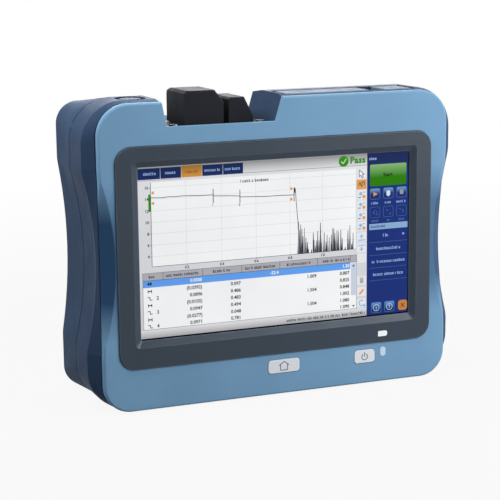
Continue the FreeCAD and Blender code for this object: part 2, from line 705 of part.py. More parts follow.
def rear_shell():
    """The rear shell: battery bay, stand recess, bosses and the screws' seats."""
    shell = case.common(slab(size.groove_place, size.case_depth + 1))
    ring = case_form(0.0)[3].cut(lofted(section(size.groove_place, 1, size.groove_inset),
                                        back_section(size.back_taper, size.groove_inset)))
    shell = shell.cut(ring.common(slab(size.groove_place, groove_end)))
    back = size.case_depth
    inside = back - size.back_wall
    bay = back - size.bay_deep
    half, tall, wall = size.bay_width / 2, size.bay_tall / 2, size.bay_wall
    shell = shell.fuse(bay_box(half + wall, tall + wall, bay - wall, inside + 0.5))
    stand = back - size.stand_thick - size.stand_gap
    shell = shell.fuse(stand_box(size.stand_gap + wall, stand - wall, inside + 0.5))
    pull_height = size.stand_low + 1
    shell = shell.fuse(tube_along_y(size.pull_radius + wall, stand - wall, inside + 0.5, 0, pull_height))
    shell = shell.multiFuse(boss_webs(size.groove_place, inside + 0.5))
    rim = size.cover_rim
    cuts = [bay_box(half, tall, bay, back + 1),
            bay_box(half + rim, tall + rim, back - size.cover_thick, back + 1),
            stand_box(size.stand_gap, stand, back + 1),
            tube_along_y(size.pull_radius, stand, back + 1, 0, pull_height)]
    slack = size.screw_radius + size.screw_slack
    for x, z in screw_spots:
        cuts.append(tube_along_y(slack, size.groove_place - 1, back, x, z))
        seat = back - size.screw_head_thick - size.screw_sunk
        cuts.append(tube_along_y(size.screw_head_radius + size.screw_slack, seat, back + 1, x, z))
    z = size.stand_axis
    y = back - size.stand_thick / 2
    for side in (-1, 1):
        x = side * (size.stand_width / 2 + size.stand_gap)
        reach = size.stand_pin_reach
        start = Vector(min(x, x + side * reach), front + y, z)
        cuts.append(Part.makeCylinder(size.stand_pin_radius, reach, start, Vector(1, 0, 0)))
    shell = shell.cut(cuts)
    floor = recess(panel_base, size.groove_place, size.panel_back + size.panel_gap)
    return shell.cut([floor] + foot_pockets())


computed("front_shell", front_shell())
computed("mid_housing", mid_housing())
computed("rear_shell", rear_shell())


# ---------------------------------------------------------------- screen

def screen_bezel():
    """The dark frame: a face, a flange behind the shell and a bevelled window."""
    z = "screen_height - bezel_drop"
    piece = Piece("screen_bezel", "screen_x", "0", z)
    face = piece.rectangle("XZ_Plane", "bezel_width", "bezel_tall", "bezel_radius")
    piece.pad(face, "bezel_thick", reverse=True)
    piece.dress("Fillet", "face_round / 3", lambda edge: facing(0, edge))
    flange = piece.rectangle("XZ_Plane", "bezel_width - 2 * flange_inset",
                             "bezel_tall + 2 * flange_reach", "bezel_radius", rise="-bezel_thick")
    piece.pad(flange, "flange_thick", reverse=True)
    window = piece.rectangle("XZ_Plane", "window_width", "window_tall", "window_radius",
                             y="bezel_drop")
    piece.pocket(window, "bezel_thick + flange_thick")
    mouth = piece.rectangle("XZ_Plane", "window_width + 2 * bevel_width",
                            "window_tall + 2 * bevel_width", "window_radius + bevel_width / 2",
                            y="bezel_drop")
    throat = piece.rectangle("XZ_Plane", "window_width", "window_tall", "window_radius",
                             y="bezel_drop", rise="-bevel_depth")
    bevel = piece.body.newObject("PartDesign::SubtractiveLoft", "Bevel")
    bevel.Profile = mouth
    bevel.Sections = [throat]
    bevel.Ruled = True
    piece.body.Tip = bevel
    seat = piece.rectangle("XZ_Plane", "glass_width + 2 * glass_gap", "glass_tall + 2 * glass_gap",
                           "window_radius + 1", y="bezel_drop",
                           rise="-(bezel_thick + flange_thick - glass_thick)")
    piece.pocket(seat, "glass_thick + 1")


def screen_stack():
    """The touch panel in the bezel's seat and the display module behind it."""
    behind = "bezel_thick + flange_thick"
    glass = Piece("touch_panel", "screen_x", behind + " - glass_thick", "screen_height")
    outline_sketch = glass.rectangle("XZ_Plane", "glass_width", "glass_tall", "window_radius + 1")
    glass.pad(outline_sketch, "glass_thick", reverse=True)
    module = Piece("lcd_module", "screen_x", behind + " + glass_gap", "screen_height")
    frame = module.rectangle("XZ_Plane", "lcd_width", "lcd_tall", "window_radius + 1")
    module.pad(frame, "lcd_thick", reverse=True)
    dent = module.rectangle("XZ_Plane", "lcd_width - 24", "lcd_tall - 24", "window_radius + 1",
                            rise="-lcd_thick")
    module.pocket(dent, "1", reverse=True)


# ---------------------------------------------------------------- keys and status light

def key(label, x, wide):
    """A round-cornered key with a flange behind the shell and a stem for its switch."""
    piece = Piece(label, x, "0", "key_height")
    back = "face_setback + front_wall"
    top = piece.rectangle("XZ_Plane", wide, "key_tall", "key_radius", rise="-(face_setback - key_proud)")
    piece.pad(top, "key_proud + front_wall + key_rest", reverse=True)
    piece.dress("Fillet", "key_proud", lambda edge: facing(size.face_setback - size.key_proud, edge))
    flange = piece.rectangle("XZ_Plane", f"{wide} + 2 * key_flange", "key_tall + 2 * key_flange",
                             "key_radius", rise=f"-({back} + key_rest)")
    piece.pad(flange, "key_flange_thick", reverse=True)
    stem = piece.circle("XZ_Plane", "stem_radius", rise=f"-({back} + key_rest + key_flange_thick)")
    piece.pad(stem, "stem_length", reverse=True)


def key_board():
    """The board behind the keys, its two switches and the status light's pipe."""
    board = Piece("key_board", "key_board_x", "chassis_place - board_thick - key_board_gap",
                  "key_height")
    board.pad(board.rectangle("XZ_Plane", "key_board_width", "key_board_tall", "1"),
              "board_thick", reverse=True)
    face = "chassis_place - board_thick - key_board_gap - switch_tall"
    switches = []
    for x in ("home_x", "power_x"):
        can = block("Switch", "switch_side", "switch_tall - plunger_length", "switch_side", x,
                    face + " + plunger_length", "key_height - switch_side / 2")
        plunger = rod("Plunger", "plunger_radius", "plunger_length", x, face, "key_height", along="y")
        switches.append(joined("Switch_whole", can, plunger))
    group("key_switches", *switches)
    pipe = Piece("status_light", "light_x", "0", "light_height")
    lens = pipe.rectangle("XZ_Plane", "light_width", "light_tall", "light_width / 2 - 0.15",
                          rise="-(face_setback - 0.1)")
    pipe.pad(lens, "chassis_place - board_thick - 0.3 - face_setback", reverse=True)


# ---------------------------------------------------------------- optical ports and their caps

def port_panel():
    """The black plate on the recess's floor, with the ports' holes."""
    left, right = "recess_left + panel_gap", "recess_right - panel_gap"
    wide = f"({right} - ({left}))"
    panel = block("Panel", wide, "panel_back - panel_front", "panel_thick - running_gap",
                  f"({left} + {right}) / 2", "panel_front",
                  "recess_floor - panel_thick + running_gap")
    holes = []
    for x, barrel in (("main_cap_x", "barrel_radius"), ("side_cap_x", "side_barrel_radius")):
        holes.append(rod("Hole", f"{barrel} + running_gap", "panel_thick + 2", x, "port_depth",
                         "recess_floor - panel_thick - 1"))
    for x in panel_screw_places:
        holes.append(rod("Screw_hole", "panel_screw_radius", "panel_thick + 2", x, "panel_screw_depth",
                         "recess_floor - panel_thick - 1"))
    node("port_panel", less("Port_panel", panel, *holes))


def hinge_ears():
    """Two ears on the panel for each cap's hinge pin."""
    ears = []
    for x, knuckle in (("main_cap_x", "main_knuckle"), ("side_cap_x", "side_knuckle")):
        for side in ("-", "+"):
            middle = f"{x} {side} ({knuckle} / 2 + cap_gap + ear_thick / 2)"
            foot = block("Ear_foot", "ear_thick", "2 * knuckle_radius", "hinge_rise", middle,
                         "hinge_back - knuckle_radius", "recess_floor")
            head = rod("Ear_head", "knuckle_radius", "ear_thick", f"{middle} - ear_thick / 2",
                       "hinge_back", "recess_floor + hinge_rise", along="x")
            hole = rod("Ear_hole", "cap_pin_radius", "ear_thick + 2", f"{middle} - ear_thick / 2 - 1",
                       "hinge_back", "recess_floor + hinge_rise", along="x")
            ears.append(less("Ear", joined("Ear_blank", foot, head), hole))
    group("hinge_ears", *ears)


panel_screw_places = ("recess_left + panel_screw_inset", "recess_right - panel_screw_edge")


def panel_screws():
    screws = []
    for x in panel_screw_places:
        head = rod("Head", "panel_screw_head", "panel_screw_head_thick", x, "panel_screw_depth",
                   "recess_floor")
        shank = rod("Shank", "panel_screw_radius", "panel_screw_length", x, "panel_screw_depth",
                    "recess_floor - panel_screw_length")
        screws.append(joined("Screw", head, shank))
    group("panel_screws", *screws)


def optical_port(name, x, radius, rise):
    """A threaded adapter through the panel, with the split sleeve that takes the ferrule."""
    base = "recess_floor - panel_thick"
    adapter = Piece(name + "_adapter", x, "port_depth", base)
    adapter.turn(adapter.polygon("XZ_Plane", [
        ("barrel_bore", "-nut_drop"), ("nut_radius", "-nut_drop"), ("nut_radius", "-0.6"),
        ("nut_radius - 0.6", "0"), (radius, "0"), (radius, f"panel_thick + {rise} - 0.4"),
        (f"{radius} - 0.4", f"panel_thick + {rise}"), ("barrel_bore", f"panel_thick + {rise}")]))
    sleeve = Piece(name + "_sleeve", x, "port_depth", f"{base} + panel_thick + {rise} - 1.6")
    sleeve.turn(sleeve.polygon("XZ_Plane", [
        ("ferrule_radius", "-sleeve_length"), ("sleeve_radius", "-sleeve_length"),
        ("sleeve_radius", "0"), ("ferrule_radius", "0")]))


def port_cap(name, x, wide, knuckle, profile, hollow):
    """A boxy dust cap open below, with a knuckle behind it for the hinge pin."""
    cap = Piece(name + "_cap", x, "0", "recess_floor + cap_gap")
    body = cap.polygon("XZ_Plane", profile, rise="-cap_front")
    cap.pad(body, "cap_back - cap_front", reverse=True)
    cap.dress("Fillet", "1", lambda edge: facing(size.cap_front, edge) and edge.BoundBox.ZMin > 1)
    top = max(value(z) for _, z in profile)
    cap.dress("Fillet", "cap_back_round",
              lambda edge: facing(size.cap_back, edge) and level_at(top, edge))
    web = cap.rectangle("XZ_Plane", knuckle, "2 * knuckle_radius", "0.2",
                        y="hinge_rise - cap_gap", rise="-(cap_back - 0.5)")
    cap.pad(web, "hinge_back - cap_back + 0.5", reverse=True)
    barrel = cap.circle("YZ_Plane", "knuckle_radius", x="hinge_back", y="hinge_rise - cap_gap",
                        rise=f"-({knuckle}) / 2")
    cap.pad(barrel, knuckle)
    inside = cap.polygon("XZ_Plane", hollow, rise="-(cap_front + cap_wall)")
    cap.pocket(inside, "cap_back - cap_front - cap_wall - cap_back_wall")
    bore = cap.circle("YZ_Plane", "cap_pin_radius + running_gap", x="hinge_back",
                      y="hinge_rise - cap_gap", rise="-10")
    cap.pocket(bore, "20", reverse=True)
    pin = rod(name + "_cap_pin", "cap_pin_radius", f"{knuckle} + 2 * ear_thick + 2 * cap_gap",
              f"{x} - {knuckle} / 2 - ear_thick - cap_gap", "hinge_back",
              "recess_floor + hinge_rise", along="x")
    node(name + "_cap_pin", pin)
    return cap


def main_cap():
    """The larger cap, with a bevel along its right top edge."""
    half, tall = "main_cap_width / 2", "main_cap_tall"
    profile = [("-" + half, "0"), (half, "0"), (half, f"{tall} - main_bevel_tall"),
               (f"{half} - main_bevel_wide", tall), (f"-{half} + 1.4", tall),
               ("-" + half, f"{tall} - 1.4")]
    inner = f"{half} - cap_wall"
    hollow = [("-" + half + " + cap_wall", "-1"), (inner, "-1"),
              (inner, f"{tall} - main_bevel_tall - cap_wall / 2"),
              (f"{inner} - main_bevel_wide + cap_wall / 2", f"{tall} - cap_wall"),
              ("-" + half + " + cap_wall", f"{tall} - cap_wall")]
    port_cap("main", "main_cap_x", "main_cap_width", "main_knuckle", profile, hollow)


def side_cap():
    """The smaller cap, whose right side slopes."""
    half, tall = "side_cap_width / 2", "side_cap_tall"
    profile = [("-" + half, "0"), (half, "0"), (half, "side_slope_low"),
               (f"{half} - side_slope_wide", tall), (f"-{half} + 1", tall),
               ("-" + half, f"{tall} - 1")]
    inner = f"{half} - cap_wall"
    hollow = [("-" + half + " + cap_wall", "-1"), (inner, "-1"), (inner, "side_slope_low - 0.4"),
              (f"{inner} - side_slope_wide + cap_wall", f"{tall} - cap_wall"),
              ("-" + half + " + cap_wall", f"{tall} - cap_wall")]
    port_cap("side", "side_cap_x", "side_cap_width", "side_knuckle", profile, hollow)


def meter_port():
    """The power meter's port in the left shoulder and the cap that pushes onto it."""
    floor = "case_top - meter_well_drop"
    port = Piece("meter_port", "meter_x", "meter_depth", floor)
    port.turn(port.polygon("XZ_Plane", [
        ("ferrule_radius", "-7.5"), ("nut_radius", "-7.5"), ("nut_radius", "-wall - 0.1"),
        ("barrel_radius", "-wall - 0.1"), ("barrel_radius", "1.4"), ("ferrule_radius", "1.4")]))
    cap = Piece("meter_cap", "meter_x", "meter_depth", floor)
    cap.turn(cap.polygon("XZ_Plane", [
        ("0", "1.5"), ("barrel_radius + running_gap", "1.5"), ("barrel_radius + running_gap", "0.1"),
        ("meter_cap_radius", "0.1"), ("meter_cap_radius", "meter_well_drop - 0.9"),
        ("meter_cap_radius - 0.7", "meter_well_drop - 0.2"), ("0", "meter_well_drop - 0.2")]))


# ---------------------------------------------------------------- sockets and their doors

def door(label, left, length):
    """A lid with a knuckle along its right end."""
    z = "door_top"
    piece = Piece(label, left, "0", z)
    plate = piece.polygon("XZ_Plane", [
        ("0", "-door_thick + running_gap"),
        (f"{length} - door_knuckle", "-door_thick + running_gap"),
        (f"{length} - door_knuckle", "0"), ("0", "0")], rise="-door_front")
    piece.pad(plate, "door_wide", reverse=True)
    hinge_line = value(f"{length} - door_knuckle")
    piece.dress("Fillet", "0.5", lambda edge: level_at(0, edge) and edge.BoundBox.XMin < hinge_line - 0.1)
    knuckle = piece.circle("XZ_Plane", "door_knuckle", x=f"{length} - door_knuckle",
                           y="-door_knuckle", rise="-door_front")
    piece.pad(knuckle, "door_wide", reverse=True)
    bore = piece.circle("XZ_Plane", "door_pin_radius + running_gap",
                        x=f"{length} - door_knuckle", y="-door_knuckle", rise="-door_front + 1")
    piece.pocket(bore, "door_wide + 2")
    pin = rod(label + "_pin", "door_pin_radius", "door_wide + 2 * door_pin_reach - 0.2",
              f"{left} + {length} - door_knuckle", "door_front - door_pin_reach + 0.1",
              "door_top - door_knuckle", along="y")
    node(label + "_pin", pin)


def sockets():
    """The network, data and power sockets, standing with their mouths in the door wells."""
    middle = "door_front + door_wide / 2"
    top = "door_top - well_drop"

    def socket(label, x, wide, deep, tall):
        return block(label, wide, deep, tall, x, f"{middle} - {deep} / 2", f"{top} - {tall}")

    lan = socket("Lan_body", "lan_x", "lan_wide", "lan_deep", "lan_tall")
    mouth = block("Lan_mouth", "lan_mouth_wide", "lan_mouth_deep", "lan_mouth_drop + 1", "lan_x",
                  f"{middle} - lan_mouth_deep / 2", f"{top} - lan_mouth_drop")
    catch = block("Lan_catch", "6", "2.4", "lan_mouth_drop + 1", "lan_x",
                  f"{middle} - lan_mouth_deep / 2 - 2.2", f"{top} - lan_mouth_drop")
    node("lan_socket", less("Lan_socket", lan, mouth, catch))
    for label, x in (("usb_socket_a", "usb_first_x"), ("usb_socket_b", "usb_second_x")):
        body = socket(label + "_body", x, "usb_wide", "usb_deep", "usb_tall")
        mouth = block(label + "_mouth", "usb_mouth_wide", "usb_mouth_deep", "usb_mouth_drop + 1", x,
                      f"{middle} - usb_mouth_deep / 2", f"{top} - usb_mouth_drop")
        tongue = block(label + "_tongue", "usb_tongue", "usb_mouth_deep - 1.4", "usb_mouth_drop - 0.6",
                       f"{x} - usb_mouth_wide / 2 + usb_tongue / 2 + 0.4",
                       f"{middle} - usb_mouth_deep / 2 + 0.7", f"{top} - usb_mouth_drop")
        node(label, joined(label + "_whole", less(label + "_shell", body, mouth), tongue))
    jack = socket("Jack_body", "jack_x", "jack_side", "jack_side", "jack_tall")
    bore = rod("Jack_bore", "jack_bore", "jack_bore_drop + 1", "jack_x", middle,
               f"{top} - jack_bore_drop")
    node("dc_jack", less("Dc_jack", jack, bore))
    pin = rod("dc_jack_pin", "jack_pin", "jack_bore_drop - 1", "jack_x", middle,
              f"{top} - jack_bore_drop")
    node("dc_jack_pin", pin)


# ---------------------------------------------------------------- inside

def chassis():
    """The metal plate that carries the display in front and the boards behind."""
    tall = "(chassis_high - chassis_low)"
    plate = block("Chassis_plate", "chassis_width", "chassis_thick", tall, "0", "chassis_place",
                  "chassis_low")
    parts = [plate]
    holes = []
    for side in ("-", ""):
        parts.append(block("Chassis_ear", "chassis_ear", "chassis_thick",
                           "screw_high + boss_radius - chassis_high + 1",
                           f"{side}(chassis_width / 2 - chassis_ear / 2)", "chassis_place",
                           "chassis_high - 1"))
        for z in ("screw_low", "screw_high"):
            holes.append(rod("Chassis_hole", "screw_radius + screw_slack", "chassis_thick + 2",
                             f"{side}screw_x", "chassis_place - 1", z, along="y"))
    node("chassis_plate", less("Chassis", joined("Chassis_blank", *parts), *holes))


def main_board():
    """The processor board on four standoffs, with its larger components."""
    place_behind = "chassis_place + chassis_thick + standoff_length"
    board = block("Board", "main_board_width", "main_board_thick", "main_board_tall", "0",
                  place_behind, "main_board_low")
    holes, posts, screws = [], [], []
    for side in ("-", ""):
        x = f"{side}(main_board_width / 2 - standoff_inset)"
        for z in ("main_board_low + standoff_inset",
                  "main_board_low + main_board_tall - standoff_inset"):
            holes.append(rod("Board_hole", "screw_radius", "main_board_thick + 2", x,
                             place_behind + " - 1", z, along="y"))
            posts.append(rod("Standoff", "standoff_radius", "standoff_length", x,
                             "chassis_place + chassis_thick", z, along="y"))
            head = rod("Board_screw_head", "screw_head_radius", "board_screw_head", x,
                       place_behind + " + main_board_thick", z, along="y")
            shank = rod("Board_screw_shank", "screw_radius", "main_board_thick", x, place_behind, z,
                        along="y")
            screws.append(joined("Board_screw", head, shank))
    node("main_board", less("Main_board", board, *holes))
    group("board_standoffs", *posts)
    group("board_screws", *screws)
    behind = place_behind + " + main_board_thick"
    box = Piece("optical_module", "optics_x", behind + " + 0.2",
                "recess_floor - panel_thick - nut_drop - 0.4 - optics_tall")
    foot = box.rectangle("XY_Plane", "optics_width", "optics_deep", "2", y="optics_deep / 2")
    box.pad(foot, "optics_tall")
    shield = Piece("processor_shield", "30", behind, "60")
    shield.pad(shield.rectangle("XZ_Plane", "46", "46", "2"), "4", reverse=True)
    shield.dress("Fillet", "0.8", lambda edge: facing(4, edge))


# ---------------------------------------------------------------- battery, stand, feet, screws

def battery():
    """The pack of three round cells' width in its bay, and the bay's screwed cover."""
    deep = "bay_deep - cover_thick - 2 * pack_gap"
    pack = Piece("battery_pack", "0", "case_depth - bay_deep + pack_gap / 2",
                 "bay_height - bay_tall / 2 + pack_gap / 2")
    foot = pack.rectangle("XY_Plane", "bay_width - pack_gap", deep, "6", y=f"({deep}) / 2")
    pack.pad(foot, "bay_tall - 2 * pack_gap")
    cover = Piece("battery_cover", "0", "case_depth - cover_thick", "bay_height")
    lid = cover.rectangle("XZ_Plane", "bay_width + 2 * cover_rim - 2 * cover_gap",
                          "bay_tall + 2 * cover_rim - 2 * cover_gap", "0.6")
    cover.pad(lid, "cover_thick", reverse=True)
    screws = []
    for side in ("-", ""):
        x = f"{side}(bay_width / 2 + cover_rim / 2)"
        cover.pocket(cover.circle("XZ_Plane", "cover_head_radius", x=x,
                                  rise="-(cover_thick - cover_head_thick)"), "cover_head_thick + 1")
        cover.pocket(cover.circle("XZ_Plane", "cover_screw_radius", x=x, rise="1"), "cover_thick + 2")
        shank = rod("Cover_screw_shank", "cover_screw_radius", "cover_thick - cover_head_thick", x,
                    "case_depth - cover_thick", "bay_height", along="y")
        head = rod("Cover_screw_head", "cover_head_radius", "cover_head_thick", x,
                   "case_depth - cover_head_thick", "bay_height", along="y")
        screws.append(joined("Cover_screw", shank, head))
    for row in ("-1", "0", "1"):
        grip = cover.rectangle("XZ_Plane", "bay_width / 3", "grip_tall", "grip_tall / 2 - 0.1",
                               y=f"{row} * grip_pitch - bay_tall / 3", rise="-(cover_thick / 2)")
        cover.pocket(grip, "cover_thick")
    group("cover_screws", *screws)


def stand():
    """The folding stand with a window through it, and the two pins that it turns on."""
    axis = "stand_axis"
    piece = Piece("kickstand", "0", "case_depth - stand_thick", axis)
    tall = "(stand_axis - stand_low)"
    leaf = piece.rectangle("XZ_Plane", "stand_width", tall, "stand_radius", y=f"-{tall} / 2")
    piece.pad(leaf, "stand_thick", reverse=True)
    top = piece.circle("YZ_Plane", "stand_thick / 2", x="stand_thick / 2", rise="-stand_width / 2")
    piece.pad(top, "stand_width")
    window = piece.rectangle("XZ_Plane", "stand_window", f"{tall} - 2 * stand_bar", "5",
                             y=f"-{tall} / 2", rise="1")
    piece.pocket(window, "stand_thick + 2")
    for side in ("-", ""):
        dent = piece.rectangle("XZ_Plane", "stand_bar", f"{tall} - 2 * stand_bar", "3",
                               x=f"{side}(stand_window / 4 + stand_width / 4)", y=f"-{tall} / 2",
                               rise="-(stand_thick - stand_dent)")
        piece.pocket(dent, "stand_thick")
    bore = piece.circle("YZ_Plane", "stand_pin_radius + running_gap", x="stand_thick / 2",
                        rise="-stand_width / 2 - 1")
    piece.pocket(bore, "stand_width + 2", reverse=True)
    pins = []
    reach = "stand_gap + stand_pin_reach - 0.1"
    for start in (f"-stand_width / 2 - ({reach})", "stand_width / 2 - stand_pin_length"):
        pins.append(rod("Stand_pin", "stand_pin_radius", f"stand_pin_length + {reach}", start,
                        "case_depth - stand_thick / 2", axis, along="x"))
    group("stand_pins", *pins)


def feet():
    pads = []
    for depth in ("foot_front", "foot_back"):
        for side in ("-", ""):
            pads.append(block("Foot", "foot_length", "foot_wide", "foot_thick", f"{side}foot_x",
                              depth, "0"))
    group("rubber_feet", *pads)


def case_screws():
    screws = []
    for side in ("-", ""):
        for z in ("screw_low", "screw_high"):
            head = rod("Case_screw_head", "screw_head_radius", "screw_head_thick", f"{side}screw_x",
                       "case_depth - screw_head_thick - screw_sunk", z, along="y")
            shank = rod("Case_screw_shank", "screw_radius",
                        "case_depth - screw_head_thick - screw_tip", f"{side}screw_x", "screw_tip", z,
                        along="y")
            screws.append(joined("Case_screw", head, shank))
    group("case_screws", *screws)


screen_bezel()
screen_stack()
key("home_button", "home_x", "home_width")
key("power_button", "power_x", "power_width")
key_board()
port_panel()
hinge_ears()
panel_screws()
optical_port("main_port", "main_cap_x", "barrel_radius", "barrel_rise")
optical_port("side_port", "side_cap_x", "side_barrel_radius", "side_barrel_rise")
main_cap()
side_cap()
meter_port()
door("data_door", "data_door_left", "data_door_length")
door("dc_door", "dc_door_left", "dc_door_length")
sockets()
chassis()
main_board()
battery()
stand()
feet()
case_screws()


# ---------------------------------------------------------------- write the nodes

doc.recompute()
os.makedirs("parts", exist_ok=True)
for item in doc.Objects:
    if "Invalid" in item.State or "Error" in item.State:
        raise RuntimeError(f"{item.Label} failed: {item.State}")
for item in nodes:
    if item.Shape.isNull() or not item.Shape.isValid():
        raise RuntimeError(f"{item.Label} has no sound shape")
    item.Shape.exportStep(f"parts/{item.Label}.step")
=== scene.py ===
import json
import math
import random

import bmesh
import bpy
from mathutils import Matrix, Vector


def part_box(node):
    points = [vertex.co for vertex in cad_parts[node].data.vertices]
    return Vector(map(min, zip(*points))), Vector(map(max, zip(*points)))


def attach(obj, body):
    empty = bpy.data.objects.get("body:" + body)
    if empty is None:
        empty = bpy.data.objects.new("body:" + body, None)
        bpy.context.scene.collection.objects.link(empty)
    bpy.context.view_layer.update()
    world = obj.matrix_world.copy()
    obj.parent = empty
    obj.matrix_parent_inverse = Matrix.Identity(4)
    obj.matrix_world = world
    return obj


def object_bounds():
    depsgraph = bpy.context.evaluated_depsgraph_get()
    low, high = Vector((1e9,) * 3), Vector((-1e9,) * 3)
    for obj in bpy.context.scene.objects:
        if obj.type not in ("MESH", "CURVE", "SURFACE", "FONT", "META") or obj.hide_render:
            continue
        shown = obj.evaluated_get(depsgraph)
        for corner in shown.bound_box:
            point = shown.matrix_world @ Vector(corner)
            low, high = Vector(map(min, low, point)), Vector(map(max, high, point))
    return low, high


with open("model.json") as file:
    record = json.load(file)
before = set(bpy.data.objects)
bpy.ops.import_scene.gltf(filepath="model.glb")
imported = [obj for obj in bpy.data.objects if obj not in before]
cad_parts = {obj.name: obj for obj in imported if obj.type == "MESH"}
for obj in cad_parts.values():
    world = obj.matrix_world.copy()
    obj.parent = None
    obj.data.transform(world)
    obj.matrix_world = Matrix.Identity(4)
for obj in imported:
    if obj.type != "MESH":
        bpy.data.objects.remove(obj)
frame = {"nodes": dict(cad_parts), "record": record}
cad_low, cad_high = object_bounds()
nodes = frame["nodes"]
MM = 0.001


# ---------------------------------------------------------------- colours and shader nodes

def rgb(red, green, blue):
    """A screen colour, 0 to 255, as the linear colour that a shader takes."""
    def linear(channel):
        share = channel / 255
        return share / 12.92 if share <= 0.04045 else ((share + 0.055) / 1.055) ** 2.4
    return (linear(red), linear(green), linear(blue), 1.0)


def scaled(colour, factor):
    return tuple(min(1.0, channel * factor) for channel in colour[:3]) + (1.0,)


MIX_SHARE, MIX_FIRST, MIX_SECOND, MIX_RESULT = 0, 6, 7, 2   # a Mix node's sockets for colours


class Graph:
    """Shortcuts that add nodes to one node tree and link them."""

    def __init__(self, tree):
        self.tree = tree

    def add(self, kind, **settings):
        made = self.tree.nodes.new(kind)
        for key, setting in settings.items():
            setattr(made, key, setting)
        return made

    def link(self, source, target):
        self.tree.links.new(source, target)

    def feed(self, socket, source):
        """Links a socket to its source, or sets it where the source is a number or a colour."""
        if isinstance(source, bpy.types.NodeSocket):
            self.link(source, socket)
        else:
            socket.default_value = source

    def math(self, operation, first, second=0.0):
        made = self.add("ShaderNodeMath", operation=operation)
        for socket, source in zip(made.inputs, (first, second)):
            self.feed(socket, source)
        return made.outputs["Value"]

    def spread(self, source, low, high, start=0.3, end=0.7):
        """The source's span from start to end, spread over low to high."""
        made = self.add("ShaderNodeMapRange")
        for name, number in (("From Min", start), ("From Max", end), ("To Min", low), ("To Max", high)):
            made.inputs[name].default_value = number
        self.link(source, made.inputs["Value"])
        return made.outputs["Result"]

    def seen(self):
        """1 for what is seen straight, mirrored or through glass, and 0 for what only lights."""
        path = self.add("ShaderNodeLightPath").outputs
        straight = self.math("MAXIMUM", path["Is Camera Ray"], path["Is Glossy Ray"])
        return self.math("MAXIMUM", straight, path["Is Transmission Ray"])

    def between(self, share, first, second):
        """A mix of two shaders."""
        made = self.add("ShaderNodeMixShader")
        for socket, source in zip(made.inputs, (share, first, second)):
            self.link(source, socket)
        return made.outputs["Shader"]


class Look(Graph):
    """A procedural material round one Principled shader."""

    def __init__(self, name):
        self.material = bpy.data.materials.new(name)
        self.material.use_nodes = True
        super().__init__(self.material.node_tree)
        self.shader = self.tree.nodes["Principled BSDF"]
        self.place = self.add("ShaderNodeTexCoord").outputs["Object"]

    def set(self, **sockets):
        for name, number in sockets.items():
            self.shader.inputs[name.replace("_", " ")].default_value = number

    def axes(self):
        """The object coordinates as three separate sockets, X, Y and Z."""
        made = self.add("ShaderNodeSeparateXYZ")
        self.link(self.place, made.inputs["Vector"])
        return made.outputs

    def stretched(self, scale):
        """Object coordinates, scaled along each axis."""
        mapping = self.add("ShaderNodeMapping")
        mapping.inputs["Scale"].default_value = scale
        self.link(self.place, mapping.inputs["Vector"])
        return mapping.outputs["Vector"]

    def noise(self, scale, detail=2.0, roughness=0.5, place=None):
        made = self.add("ShaderNodeTexNoise")
        made.inputs["Scale"].default_value = scale
        made.inputs["Detail"].default_value = detail
        made.inputs["Roughness"].default_value = roughness
        self.link(place or self.place, made.inputs["Vector"])
        return made.outputs["Fac"]

    def cells(self, scale):
        made = self.add("ShaderNodeTexVoronoi", feature="SMOOTH_F1")
        made.inputs["Scale"].default_value = scale
        self.link(self.place, made.inputs["Vector"])
        return made.outputs["Distance"]

    def mix(self, share, first, second):
        """A mix of two colours; each is a colour or a socket."""
        made = self.add("ShaderNodeMix", data_type="RGBA")
        for number, source in ((MIX_SHARE, share), (MIX_FIRST, first), (MIX_SECOND, second)):
            self.feed(made.inputs[number], source)
        return made.outputs[MIX_RESULT]

    def edges(self, radius):
        """Near 1 along edges sharper than the radius, and 0 on flat faces."""
        bevel = self.add("ShaderNodeBevel", samples=4)
        bevel.inputs["Radius"].default_value = radius
        flat = self.add("ShaderNodeNewGeometry")
        dot = self.add("ShaderNodeVectorMath", operation="DOT_PRODUCT")
        self.link(bevel.outputs["Normal"], dot.inputs[0])
        self.link(flat.outputs["Normal"], dot.inputs[1])
        return self.spread(dot.outputs["Value"], 1.0, 0.0, 0.80, 0.995)

    def bump(self, height, strength, distance):
        made = self.add("ShaderNodeBump")
        made.inputs["Strength"].default_value = strength
        made.inputs["Distance"].default_value = distance
        self.link(height, made.inputs["Height"])
        self.link(made.outputs["Normal"], self.shader.inputs["Normal"])

    def colour(self, socket):
        self.link(socket, self.shader.inputs["Base Color"])

    def roughness(self, socket):
        self.link(socket, self.shader.inputs["Roughness"])


# ---------------------------------------------------------------- the kinds of material

BLUE = rgb(113, 152, 184)
# partly painted shade: the side bands' slate is a darker copy of the shell's blue
SLATE = rgb(50, 68, 94)
# painted shade: a darker blue laid into the thumb scoops in place of their shading
SCOOP_SHADE = rgb(46, 75, 109)
WAIST = 0.0778                       # the height of the thumb scoops' middle
SCOOP_SHADE_REACH = (0.020, 0.040)         # the painted shade fades out between these heights above and below it
SCOOP_SHADE_DEPTH = (0.0001, 0.0012)       # and the painted shade fades in between these depths behind the model's front
SEAM_DEPTH = 0.004                   # no line and no second colour up to this depth,
SEAM_MARGIN = 0.00005                # nor within this much behind it
SEAM_HALF = 0.0972                   # the line's distance from the middle plane at SEAM_DEPTH
SEAM_SLOPE = 0.403                   # how far the seam's line moves in for each unit that it goes back
SEAM_LINE = 0.0002                   # half the line's breadth, measured sideways


